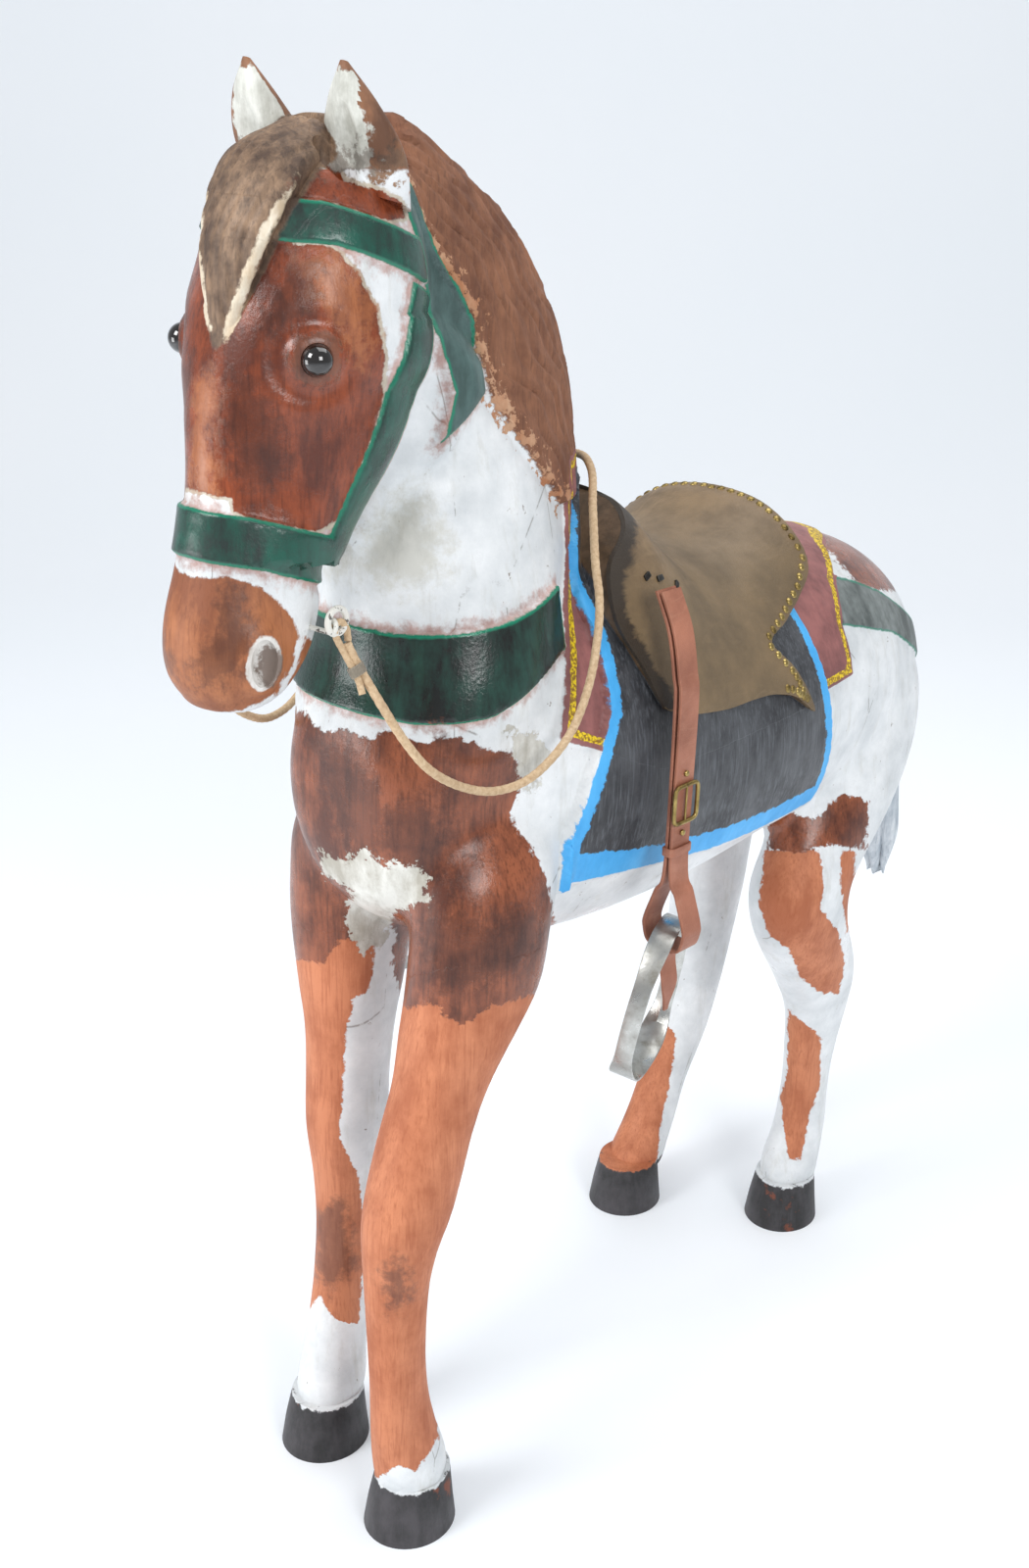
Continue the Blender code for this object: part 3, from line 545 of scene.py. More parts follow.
relief = {
    "mane": 9, "bridle": 5, "collar": 6, "underBlanket": 5, "blanket": 12, "crupper": 4,
}
carving = {
    "grid": 0.0093,          # size of the first, even mesh over the figure
    "smoothing": 7,
    "wall": 0.0022,          # width of the rounded edge of each relief
    "eye": (75, -570, 1204),
    "eyeRadius": 12.5,
    "mouth": [(-505, 1000), (-524, 991), (-540, 958), (-567, 930), (-600, 918), (-640, 914)],
    "nostril": (55, -612, 968),
    "nostrilSize": (12, 13, 20.5),       # half width, depth and height
    "nostrilTurn": 36,
    "tailLocks": 5,
    "tailLockDepth": 0.22,
    "maneEdge": [
        (-461, 1322), (-430, 1275), (-370, 1208), (-352, 1154), (-324, 1108), (-258, 1046),
    ],
    "maneCrest": [
        (-420, 1372), (-378, 1348), (-318, 1310), (-234, 1239), (-178, 1155), (-160, 1075),
    ],
    "maneLocks": 9,
    # Edge of the cheek and jaw in the photograph's pixels.
    "jaw": [(440, 324), (470, 345), (487, 372), (492, 402), (479, 432), (456, 460), (428, 484),
            (402, 508), (384, 532), (370, 552), (345, 572)],
    "jawRise": 7,
    "jawHollow": 7,
    "earWidth": 1.17,
    "eyeRoom": 0.3,          # between the glass eye and its socket
    "brow": (-0.47, 1.15, 1.345),        # in metres: smoothed in front of y, between two z
    "browSmoothing": 10,
    "fineAbove": 0.86,       # in metres: the head's mesh is finer above here
    "muzzleFrom": -0.62,     # in metres: what lies in front of here is drawn in
    "muzzleSqueeze": 0.94,
    # Heights of the face's carving, in metres.
    "eyeSwell": 0.0032, "lidRise": 0.0040, "socketDepth": 0.0030, "mouthDepth": 0.0052,
    "lipRise": 0.0022, "nostrilRim": 0.0036,
    # Heights of the locks of the mane and the forelock, in metres.
    "lockRise": 0.0034, "strandRise": 0.0007, "forelockRise": 0.0022, "beadRise": 0.0022,
}
bridleParts = ("browband", "crownpiece", "cheekStrap", "noseband")
bodyParts = ("mane", "collar", "underBlanket", "blanket", "crupper")


def sideDepth(points, *names):
    # Depth inside side-view outlines, in metres; the widest of several.
    flat = points[:, 1:] / mm
    return np.max([depthInside(flat, carved[name]) for name in names], axis=0) * mm


def roughFigure():
    shape = loft("horseCarving", figure["trunk"])
    for name in ("neck", "head", "frontLeft", "frontRight", "hindLeft", "hindRight"):
        combine(shape, loft(name, figure[name]), "UNION")
    applyModifier(shape, "REMESH", mode="VOXEL", voxel_size=carving["grid"])
    applyModifier(shape, "SMOOTH", factor=0.5, iterations=carving["smoothing"])
    at = read(shape)
    brow = shape.vertex_groups.new(name="brow")
    front, low, high = carving["brow"]
    near = np.nonzero((at[:, 1] < front) & (at[:, 2] > low) & (at[:, 2] < high))[0]
    brow.add([int(index) for index in near], 1.0, "REPLACE")
    applyModifier(shape, "SMOOTH", factor=0.5, iterations=carving["browSmoothing"],
                  vertex_group="brow")
    shape.vertex_groups.clear()
    return shape


def subdivideWhere(shape, wanted):
    # Cuts each wanted face in four.
    selectOnly(shape)
    bpy.ops.object.mode_set(mode="EDIT")
    bpy.ops.mesh.select_all(action="DESELECT")
    bpy.ops.object.mode_set(mode="OBJECT")
    centres = np.empty(len(shape.data.polygons) * 3, np.float32)
    shape.data.polygons.foreach_get("center", centres)
    chosen = wanted(centres.reshape(-1, 3).astype(float))
    shape.data.polygons.foreach_set("select", chosen)
    edges = set()
    for face in np.nonzero(chosen)[0]:
        edges.update(shape.data.polygons[int(face)].edge_keys)
    marks = [key in edges for key in shape.data.edge_keys]
    shape.data.edges.foreach_set("select", marks)
    bpy.ops.object.mode_set(mode="EDIT")
    bpy.ops.mesh.select_mode(type="FACE")
    bpy.ops.mesh.subdivide(number_cuts=1, smoothness=0.6)
    bpy.ops.object.mode_set(mode="OBJECT")


def nearWall(points, reach):
    edges = [np.abs(sideDepth(points, name)) for name in bodyParts]
    edges.append(np.abs(sideDepth(points, *bridleParts)))
    return np.min(edges, axis=0) < reach


def jawDepth(points):
    # Distance from the jaw's edge as seen from the camera, in metres, positive on the cheek.
    pixels, away = seenAt(onLeft(points))
    cheek = depthInside(pixels, [(-400, 240), *carving["jaw"], (-400, 640)]) > 0
    reach = lineDistance(pixels, carving["jaw"]) * away / photoView["focalPixels"]
    inHead = (points[:, 1] < -0.28) & (points[:, 2] > 0.93)
    return np.where(inHead, np.where(cheek, reach, -reach), -0.1)


def carveRelief(shape):
    subdivideWhere(shape, lambda at: nearWall(at, 0.008)
                   | (at[:, 1] < -0.5) & (at[:, 2] > carving["fineAbove"])
                   | (sideDepth(at, "mane") > 0) | (np.abs(jawDepth(at)) < 0.022))
    subdivideWhere(shape, lambda at: nearWall(at, 0.004))
    applyModifier(shape, "SMOOTH", factor=0.4, iterations=3)
    points, normals = read(shape), read(shape, "normal")
    wall = carving["wall"]
    heights = [relief["bridle"] * eased(sideDepth(points, *bridleParts), -wall, wall)]
    for name in bodyParts:
        heights.append(relief[name] * eased(sideDepth(points, name), -wall, wall))
    height = np.max(heights, axis=0) * mm
    height += grooves(points)
    height += faceCarving(points)
    points += normals * height[:, None]
    start = carving["muzzleFrom"]
    muzzle = points[:, 1] < start
    points[muzzle, 1] = start + (points[muzzle, 1] - start) * carving["muzzleSqueeze"]
    movePoints(shape, points)
    return shape


def grooves(points):
    # Locks of the mane run down the neck between its edge and its crest.
    flat = points[:, 1:] / mm
    edge = lineDistance(flat, catmullRom(carving["maneEdge"], 5))
    crest = lineDistance(flat, catmullRom(carving["maneCrest"], 5)) \
        + np.abs(points[:, 0]) / mm * 0.25
    share = edge / (edge + crest)
    along = points[:, 2] * 0.8 - points[:, 1] * 0.6
    wander = 0.05 * np.sin(along * 34) + 0.028 * np.sin(along * 83 + share * 9)
    phase = (share + wander) * carving["maneLocks"]
    lock = np.abs(np.sin(pi * phase)) ** 0.7 - 0.75
    fine = np.sin(pi * phase * 3.1 + 2 * np.sin(along * 50))
    inMane = eased(sideDepth(points, "mane"), 0.0, 0.006) * (points[:, 2] > 1.03)
    return inMane * (carving["lockRise"] * lock + carving["strandRise"] * fine)


def faceCarving(points):
    # Eyelids, cheek, mouth line and the rims of the nostrils.
    beside = onLeft(points)
    eye = np.array(carving["eye"]) * mm
    away = np.linalg.norm((beside - eye) * (1, 1, 1.12), axis=1)
    height = carving["eyeSwell"] * eased(away, 0.075, 0.028)
    height += carving["lidRise"] * eased(away, 0.028, 0.0175) \
        - carving["socketDepth"] * eased(away, 0.046, 0.033) * eased(away, 0.021, 0.031)
    jaw = jawDepth(points)
    fade = eased(points[:, 2], 1.255, 1.185) * eased(points[:, 2], 0.99, 1.03)
    height += carving["jawRise"] * mm * fade * eased(jaw, -0.003, 0.014) * eased(jaw, 0.08, 0.03)
    height -= carving["jawHollow"] * mm * fade * eased(jaw, -0.045, -0.012) \
        * eased(jaw, 0.001, -0.007)
    mouth = lineDistance(beside[:, 1:], np.array(carving["mouth"]) * mm)
    height -= carving["mouthDepth"] * eased(mouth, 0.0052, 0.0) * (points[:, 1] < -0.5)
    height += carving["lipRise"] * eased(np.abs(mouth - 0.0105), 0.0075, 0.0) \
        * (points[:, 1] < -0.515)
    nostril = np.linalg.norm((beside - np.array(carving["nostril"]) * mm) * (1, 1, 0.68), axis=1)
    height += carving["nostrilRim"] * eased(nostril, 0.026, 0.016)
    return height


saddle = {
    "start": -265, "end": 170, "step": 8, "sides": 120,
    "seatHalfAngle": 12, "seatBlend": 50, "flapHalfAngle": 110, "underInset": 20,
    "flapRelief": 18, "leather": 4, "overcut": 2, "room": 45, "clearance": 0.3,
    # Height of the seat over the back, front to rear: y, rise at the middle.
    "rise": [
        (-260, 40), (-200, 58), (-150, 56), (-100, 32), (-50, 16), (0, 17), (50, 32),
        (100, 53), (130, 58), (170, 50),
    ],
    "outline": [
        (118, 1100), (124, 985), (121, 930), (88, 902), (45, 882), (4, 869), (30, 838),
        (52, 790), (20, 812), (-20, 824), (-60, 828), (-120, 832), (-198, 850), (-222, 895),
        (-240, 940), (-225, 985), (-180, 1012), (-148, 1030), (-145, 1100),
    ],
}


def saddleRings(extra, step=None):
    # Rings round the trunk whose upper side is the saddle's surface, moved out by extra.
    table = catmullRom(figure["trunk"], 4)
    rise = np.array(saddle["rise"], float)
    sides = saddle["sides"]
    angles = np.arange(-180, 180, 360 / sides)
    rings = []
    for y in np.arange(saddle["start"], saddle["end"], step or saddle["step"]):
        centre, halfWidth, halfDepth = (np.interp(y, table[:, 1], table[:, k]) for k in (2, 3, 4))
        top = np.interp(y, rise[:, 0], rise[:, 1])
        side = eased(np.abs(angles), saddle["seatHalfAngle"],
                     saddle["seatHalfAngle"] + saddle["seatBlend"])
        out = top * (1 - side) + saddle["flapRelief"] * side + extra
        out[np.abs(angles) > saddle["flapHalfAngle"]] = -saddle["underInset"]
        across = (halfWidth + out) * np.sin(np.radians(angles))
        level = centre + (halfDepth + out) * np.cos(np.radians(angles))
        rings.append(mm * np.stack([across, np.full(sides, float(y)), level], axis=1))
    return rings


def saddleForm(name, extra):
    return skinned(name, saddleRings(extra))


def makeHorse():
    shape = carveRelief(roughFigure())
    core = combine(saddleForm("core", saddle["overcut"]), prism("outline", saddle["outline"]),
                   "INTERSECT")
    room = combine(saddleForm("room", saddle["room"]), saddleForm("floor", 0), "DIFFERENCE")
    combine(room, prism("outline", saddle["outline"]), "INTERSECT")
    combine(shape, core, "UNION")
    combine(shape, room, "DIFFERENCE")
    for stations in (figure["ear"], mirrored(figure["ear"])):
        combine(shape, loft("ear", widened(stations), steps=8, sides=32), "UNION")
    combine(shape, makeForelock(), "UNION")
    for x, y in figure["hoofCentres"]:
        combine(shape, loft("hoof", figure["hoof"], steps=6, sides=48, offset=(x, y)), "UNION")
    combine(shape, makeTail(), "UNION")
    for stations in (figure["earHollow"], mirrored(figure["earHollow"])):
        combine(shape, loft("earHollow", widened(stations), steps=6, sides=32), "DIFFERENCE")
    for side in (1, -1):
        spot = Vector(carving["nostril"]) * mm
        bpy.ops.mesh.primitive_uv_sphere_add(
            segments=40, ring_count=24, radius=mm, location=(side * spot.x, spot.y, spot.z),
            rotation=(0, 0, side * radians(carving["nostrilTurn"])))
        bpy.context.object.scale = carving["nostrilSize"]
        combine(shape, settled(bpy.context.object), "DIFFERENCE")
        x, y, z = np.array(carving["eye"]) * mm * (side, 1, 1)
        bpy.ops.mesh.primitive_uv_sphere_add(
            segments=32, ring_count=16, location=(x, y, z),
            radius=(carving["eyeRadius"] + carving["eyeRoom"]) * mm)
        combine(shape, bpy.context.object, "DIFFERENCE")
    return shape


def widened(stations):
    return [(x, y, z, halfWidth * carving["earWidth"], *rest)
            for x, y, z, halfWidth, *rest in stations]


def forelockStations():
    # The lock lies a little to the left, and its tip stops above the middle of the face.
    moved = []
    for x, y, z, halfWidth, *rest in figure["forelock"]:
        lift = 22 * float(eased(z, 1320.0, 1180.0))
        moved.append((x + 7 * float(eased(z, 1360.0, 1260.0)), y + lift * 0.36, z + lift,
                      halfWidth * (1 - 0.12 * float(eased(z, 1340.0, 1240.0))), *rest))
    return moved


def makeTail():
    # Locks that wind a little as they hang.
    sides, steps = 80, 11
    tail = loft("tail", figure["tail"], steps=steps, sides=sides)
    points, middle = read(tail), catmullRom(figure["tail"], steps)
    for index, (x, y, z, halfWidth, halfDepth, tilt, _) in enumerate(middle):
        angle = np.arange(sides) * tau / sides
        wind = 0.5 * sin(z / 95) + 0.25 * sin(z / 31)
        furrow = 1 - np.abs(np.sin(carving["tailLocks"] * (angle + wind) / 2)) ** 0.6
        fine = 1 - np.abs(np.sin(carving["tailLocks"] * 3 * (angle + wind) / 2))
        lobe = 1 - carving["tailLockDepth"] * furrow - 0.05 * fine
        end = float(eased(index, len(middle) - 18.0, len(middle) - 1.0))
        lobe *= 1 - 0.5 * end ** 3
        ring = slice(index * sides, (index + 1) * sides)
        centre = np.array((x, y, z)) * mm
        points[ring] = centre + (points[ring] - centre) * lobe[:, None]
        points[ring, 2] -= 0.016 * end * (1 - 1.6 * furrow)
    movePoints(tail, points)
    return tail


def makeForelock():
    lock = loft("forelock", forelockStations(), steps=14, sides=72)
    points, normals = read(lock), read(lock, "normal")
    across = points[:, 0] / 0.0105 + 0.45 * np.sin(points[:, 2] * 55)
    height = carving["forelockRise"] * (np.abs(np.sin(pi * across)) ** 0.6 - 0.7)
    height += carving["beadRise"] * eased(beadDepth(points), -0.002, 0.003)
    movePoints(lock, points + normals * height[:, None])
    return lock


def beadDepth(points):
    # The raised edges of the forelock, worn to their cream ground.
    found = np.full(len(points), -0.1)
    for side in (1, -1):
        line = [(x + side * halfWidth * 0.93, y - 4, z) for x, y, z, halfWidth, _, _, _ in
                catmullRom(forelockStations(), 6) if z < 1335]
        found = np.maximum(found, 0.0047 - lineDistance(points, np.array(line) * mm))
    return found


horse = makeHorse()
print("horse carved,", sum(len(face.vertices) - 2 for face in horse.data.polygons), "triangles")

# Where varnish, stain, painted shade, bare wood and dirt show. A patch: its paint, the part of the
# horse that it lies on, whether it is mirrored to the right side too, and its outline in the
# photograph's pixels.
outside = -0.1           # depth given to what is nowhere near a paint, in metres
parts = {                # lowest and highest x, y and z, in metres
    "head": ((-1, 1), (-1, -0.3), (0.9, 2)),
    "breast": ((-1, 1), (-1, -0.22), (0.3, 1.0)),
    "foreLeft": ((0.0, 1), (-1, -0.2), (0, 0.68)),
    "foreRight": ((-1, 0.0), (-1, -0.2), (0, 0.68)),
    "quarters": ((-1, 1), (0.1, 1), (0.5, 1.2)),
    "hindLeft": ((0.0, 1), (0.1, 1), (0, 0.76)),
    "hindRight": ((-1, 0.0), (0.05, 1), (0, 0.7)),
}
patches = [
    ("face", "head", True, [
        (60, 150), (300, 150), (322, 175), (328, 208), (300, 240), (296, 250), (330, 250),
        (348, 260), (368, 284), (384, 318), (392, 362), (390, 412), (376, 459), (358, 506),
        (345, 530), (322, 543), (262, 532), (238, 522), (236, 509), (198, 500), (176, 508),
        (60, 520)]),
    ("face", "head", True, [    # above the browband
        (300, 150), (335, 160), (352, 184), (392, 196), (410, 206), (414, 222), (396, 226),
        (345, 208), (300, 206)]),
    ("matt", "head", True, [    # muzzle
        (60, 580), (178, 578), (196, 588), (240, 590), (268, 600), (292, 622), (306, 648),
        (300, 672), (292, 690), (282, 708), (250, 724), (150, 740), (60, 700)]),
    ("varnish", "breast", False, [
        (286, 716), (312, 728), (330, 748), (352, 742), (372, 756), (398, 744), (430, 760),
        (470, 752), (505, 768), (520, 764), (538, 790), (520, 830), (545, 870), (560, 905),
        (569, 960), (556, 1012), (520, 1022), (490, 1030), (478, 1046), (458, 1040), (440, 1022),
        (412, 1030), (400, 990), (404, 950), (390, 940), (372, 962), (345, 958), (330, 985),
        (290, 975), (270, 900)]),
    ("smudge", "breast", False, [
        (318, 748), (352, 762), (384, 800), (396, 850), (372, 880), (345, 850), (330, 800)]),
    ("smudge", "breast", False, [
        (384, 826), (440, 812), (452, 860), (446, 900), (410, 890), (390, 866)]),
    ("smudge", "breast", False, [    # seam of the planks
        (452, 752), (457, 752), (459, 930), (453, 930)]),
    ("smudge", "breast", False, [
        (428, 940), (470, 930), (500, 945), (540, 920), (556, 950), (540, 985), (500, 1000),
        (452, 1012), (432, 980)]),
    ("chestWhite", "breast", False, [
        (322, 866), (345, 880), (372, 866), (388, 880), (426, 883), (438, 900), (434, 922),
        (404, 930), (392, 960), (372, 975), (352, 950), (356, 908), (332, 892)]),
    ("chestWhite", "breast", False, [
        (516, 744), (545, 748), (560, 770), (552, 800), (534, 812), (528, 782)]),
    ("matt", "head", True, [
        (311, 648), (321, 657), (314, 682), (299, 708), (291, 718), (295, 697), (305, 672)]),
    ("slot", "head", False, [
        (316, 118), (327, 118), (327, 168), (316, 168)]),
    ("smudge", "head", True, [
        (236, 372), (258, 392), (286, 430), (296, 476), (268, 508), (240, 490), (226, 440)]),
    ("smudge", "head", True, [
        (300, 258), (330, 270), (326, 300), (296, 330), (262, 352), (262, 320), (284, 290)]),
    ("smudge", "head", True, [
        (228, 600), (250, 604), (262, 650), (246, 690), (206, 700), (190, 676), (222, 650)]),
    # Yellow-grey stain on the neck behind the jaw, darkened there as painted shade of the jaw's
    # edge.
    ("stainAndShade", "head", True, [    # neck
        (374, 548), (402, 514), (426, 500), (440, 524), (456, 546), (450, 586), (424, 600),
        (392, 598), (370, 584)]),
    ("rubbed", "head", True, [    # bridge of the nose
        (60, 372), (206, 372), (224, 400), (216, 450), (222, 500), (60, 512)]),
    ("rubbed", "head", True, [
        (300, 262), (350, 262), (374, 300), (382, 350), (366, 372), (350, 330), (318, 300)]),
    ("varnish", "quarters", True, [
        (816, 535), (860, 536), (905, 575), (915, 604), (880, 600), (850, 566), (824, 556)]),
    ("varnish", "hindLeft", False, [
        (784, 838), (800, 828), (830, 836), (858, 812), (886, 816), (884, 866), (846, 862),
        (815, 872), (784, 866)]),
    ("bare", "hindLeft", False, [    # thigh
        (780, 868), (836, 866), (840, 900), (838, 928), (856, 952), (862, 985), (856, 1014),
        (838, 1014), (815, 996), (806, 970), (786, 955), (775, 925)]),
    ("bare", "hindLeft", False, [
        (858, 868), (872, 868), (872, 944), (864, 952), (858, 905)]),
    ("bare", "hindLeft", False, [    # below the hock
        (804, 1030), (838, 1058), (836, 1110), (826, 1140), (816, 1186), (804, 1182), (796, 1120),
        (804, 1090)]),
    ("bare", "hindRight", False, [
        (596, 1000), (640, 1000), (662, 1010), (690, 1060), (684, 1100), (676, 1140), (668, 1200),
        (596, 1200)]),
    ("bare", "foreLeft", False, [
        (300, 995), (400, 1000), (450, 990), (500, 985), (620, 950), (620, 1300), (452, 1420),
        (446, 1470), (424, 1502), (404, 1496), (386, 1508), (300, 1500)]),
    ("bare", "foreRight", False, [
        (270, 940), (330, 950), (352, 950), (366, 956), (384, 962), (376, 1010), (360, 1020),
        (352, 1060), (350, 1110), (346, 1160), (366, 1200), (372, 1260), (366, 1352), (340, 1346),
        (326, 1322), (308, 1346), (270, 1350)]),
    ("smudge", "foreLeft", False, [
        (388, 1296), (410, 1284), (420, 1320), (402, 1340)]),
    ("smudge", "foreRight", False, [
        (318, 1240), (350, 1222), (362, 1290), (340, 1320), (322, 1300)]),
]


def paintDepths(points):
    # How deep each point lies inside the patches of each paint, in metres, as seen.
    direct, turned = seenAt(points), seenAt(onLeft(points))
    found = {}
    for paint, part, paired, outline in patches:
        pixels, depth = turned if paired else direct
        inside = depthInside(pixels, outline) * depth / photoView["focalPixels"]
        for axis, (low, high) in enumerate(parts[part]):
            inside = np.minimum(inside, np.minimum(points[:, axis] - low, high - points[:, axis]))
        found[paint] = np.maximum(found.get(paint, outside), inside)
    return found


def loftDepth(points, stations):
    # Roughly how deep points lie inside a loft, in metres.
    nearest = np.full(len(points), outside)
    for x, y, z, halfWidth, halfDepth, _, _ in catmullRom(stations, 8):
        away = np.linalg.norm((points / mm - (x, y, z)) / (halfWidth, halfDepth * 1.5, 16), axis=1)
        nearest = np.maximum(nearest, (1.1 - away) * min(halfWidth, 20) * mm)
    return nearest


# Where coats of the head, neck, feet and tail end: places and distances in metres.
borders = {
    "earLow": 1.338, "earFront": -0.458, "earInner": 0.014, "earOuter": 0.066, "earTip": 1.409,
    "earGrimeTop": 1.351, "neckBack": -0.1, "neckLow": 1.0, "bridleLow": 0.99,
    "faceEdge": 0.0028, "maneWornReach": 0.004, "maneWornAt": 0.006, "maneWornBack": -0.21,
    "hoofTop": 0.06, "hoofReach": 0.07, "nostril": 0.0165, "nostrilShade": 0.0105,
    "nostrilShadeOffset": (-0.004, 0.0085, -0.004), "eyeRing": 0.021, "tailTop": 1.02, "tailFront": 0.565,
}


def storePaint(shape):
    points, normals = read(shape), read(shape, "normal")
    onEar = np.min([points[:, 2] - borders["earLow"], borders["earFront"] - points[:, 1],
                    np.abs(points[:, 0]) - borders["earInner"]], axis=0)
    onNeck = (points[:, 1] < borders["neckBack"]) & (points[:, 2] > borders["neckLow"])
    fields = paintDepths(points)
    fields["mane"] = np.where(onNeck, np.minimum(sideDepth(points, "mane"), -onEar), outside)
    fields["bridle"] = np.where(points[:, 2] > borders["bridleLow"],
                                sideDepth(points, *bridleParts), outside)
    fields["straps"] = np.maximum(sideDepth(points, "crownpiece"), outside)
    for name in ("collar", "underBlanket", "blanket", "blanketField", "crupper"):
        fields[name] = sideDepth(points, name)
    fields["foot"] = np.maximum(fields["collar"], fields["bridle"])
    outer = np.abs(points[:, 0]) > borders["earOuter"]
    fields["ear"] = onEar
    silver = 0.03 * (-normals[:, 1] - 0.25) - 0.02 * outer
    fields["earHollow"] = np.min([silver, onEar, borders["earTip"] - points[:, 2]], axis=0)
    fields["forelock"] = loftDepth(points, forelockStations())
    fields["faceEdge"] = fields["face"] + borders["faceEdge"]
    worn = (fields["mane"] > -0.02) & (points[:, 1] < borders["maneWornBack"])
    fromLine = np.abs(fields["mane"] - borders["maneWornAt"])
    fields["maneWorn"] = np.where(worn, borders["maneWornReach"] - fromLine, outside)
    # Darker brown over the lowest part of each ear, where it meets the head.
    fields["earGrime"] = np.minimum(onEar, borders["earGrimeTop"] - points[:, 2])
    fields["bead"] = beadDepth(points)
    hoof = [np.hypot(points[:, 0] - x * mm, points[:, 1] - y * mm)
            for x, y in figure["hoofCentres"]]
    fields["hoof"] = np.minimum(borders["hoofTop"] - points[:, 2],
                                borders["hoofReach"] - np.min(hoof, axis=0))
    beside = onLeft(points)
    nostril = np.array(carving["nostril"]) * mm
    fields["nostril"] = borders["nostril"] - np.linalg.norm(
        (beside - nostril) * (1, 1, 0.7), axis=1)
    # Dark spot deep in the nostril's hollow, pushed back from its centre: painted shade.
    fields["nostrilShade"] = borders["nostrilShade"] - np.linalg.norm(
        (beside - nostril - borders["nostrilShadeOffset"]) * (1, 0.9, 0.62), axis=1)
    eye = np.array(carving["eye"]) * mm
    fields["eyeRing"] = borders["eyeRing"] - np.linalg.norm(beside - eye, axis=1)
    table = catmullRom(figure["trunk"], 4)
    centre, halfWidth, halfDepth = (np.interp(points[:, 1] / mm, table[:, 1], table[:, k])
                                    for k in (2, 3, 4))
    reach = np.hypot(points[:, 0] / mm / halfWidth, (points[:, 2] / mm - centre) / halfDepth) - 1
    onSaddle = depthInside(points[:, 1:] / mm, saddle["outline"]) + 6
    fields["saddleCore"] = np.minimum(reach * halfWidth - 13.5, onSaddle) * mm
    # Blue-grey streaks down the tail: painted shade of the grooves between its locks.
    fields["tail"] = np.where(points[:, 2] < borders["tailTop"],
                              points[:, 1] - borders["tailFront"], outside)
    for name, values in fields.items():
        storeField(shape, name, np.clip(values, outside, -outside))


def coatOf(tones, ragged, soft, rough, **more):
    return {"tones": tones.split(), "ragged": ragged, "soft": soft, "rough": rough, **more}


# Coats of the carving from the lowest up. Each lies where its field is above zero; ragged,
# in metres, is how unevenly its edge is worn, and soft how gradually it ends.
coats = {
    "foot": coatOf("#BC8878 #8E5644", 0.02, 0.007, 0.45, reach=0.005, strength=0.74),
    # Neck patch behind the jaw: partly a real stain, partly painted shade.
    "stainAndShade": coatOf("#BDB7A2 #9C967E", 0.04, 0.018, 0.38, strength=0.5),
    # Tail: white paint with blue-grey streaks that are painted shade of its grooves.
    "tail": coatOf("#DDE2E6 #A6B1BA", 0.01, 0.004, 0.45, grain="#8793A0"),
    "bare": coatOf("#C87E58 #AB6341", 0.008, 0.0009, 0.62, grain="#9C5230"),
    "varnish": coatOf("#985639 #562A1A", 0.012, 0.0012, 0.25, grain="#40200F"),
    "faceEdge": coatOf("#CFC6B6 #A89A88", 0.005, 0.0008, 0.4),
    "face": coatOf("#93482A #5A2817", 0.005, 0.0008, 0.22, grain="#421D10"),
    "rubbed": coatOf("#B27045 #9A5A36", 0.03, 0.009, 0.34, strength=0.75, grain="#8A4C2C"),
    "matt": coatOf("#A9683F #834A2C", 0.006, 0.001, 0.5, grain="#6E3A20"),
    "smudge": coatOf("#51291A #3A1C12", 0.03, 0.009, 0.28, strength=0.6),
    "chestWhite": coatOf("#DAD9D2 #A8A397", 0.022, 0.0012, 0.4),
    "slot": coatOf("#1E1A17 #2C2621", 0.004, 0.001, 0.6),
    "eyeRing": coatOf("#6F5242 #2E1C14", 0.022, 0.004, 0.35, strength=0.6),
    "nostril": coatOf("#E2DFDA #A89C90", 0.003, 0.0008, 0.45),
    # Painted shade inside the nostril's hollow.
    "nostrilShade": coatOf("#6E5A4E #33261F", 0.01, 0.002, 0.6, strength=0.9),
    "mane": coatOf("#8E5F44 #6B4431", 0.006, 0.001, 0.78, grain="#57382A"),
    "maneWorn": coatOf("#C39B7C #AA7350", 0.05, 0.0015, 0.75),
    "ear": coatOf("#8F6244 #5E3D29", 0.006, 0.0015, 0.6),
    "earHollow": coatOf("#DADBD4 #A5A59C", 0.014, 0.0016, 0.38),
    # Darker brown over the lowest part of each ear.
    "earGrime": coatOf("#6E5A48 #3A2C22", 0.05, 0.006, 0.6, strength=0.6),
    "bridle": coatOf("#1D5547 #222E2B", 0.002, 0.0006, 0.25, rim=("#12745A", 0.0025)),
    "straps": coatOf("#56706D #3B514E", 0.003, 0.0008, 0.38, rim=("#1A7A60", 0.0025)),
    "collar": coatOf("#24443B #171A19", 0.0022, 0.0006, 0.15, rim=("#127C5E", 0.0026), rust=0.64),
    "forelock": coatOf("#977A60 #4E3B2E", 0.003, 0.001, 0.55, grain="#3A2C24"),
    "bead": coatOf("#E6DECC #C3AE92", 0.004, 0.0008, 0.3),
    "crupper": coatOf("#7E8583 #4C5351", 0.003, 0.001, 0.45, rim=("#2A7C66", 0.0022)),
    "underBlanket": coatOf("#9C635F #7A4C4A", 0.003, 0.0006, 0.5,
                           braid=("#EBCB1C", 0.0088, 0.0038)),
    "blanket": coatOf("#4FB4F2 #3FA2E2", 0.003, 0.0006, 0.45),
    "blanketField": coatOf("#4A4C50 #2A2B2F", 0.009, 0.0008, 0.4, grain="#6A6E74"),
    "saddleCore": coatOf("#6B523A #45331F", 0.0015, 0.0008, 0.6),
    "hoof": coatOf("#434043 #242324", 0.008, 0.001, 0.5, rust=0.63),
}


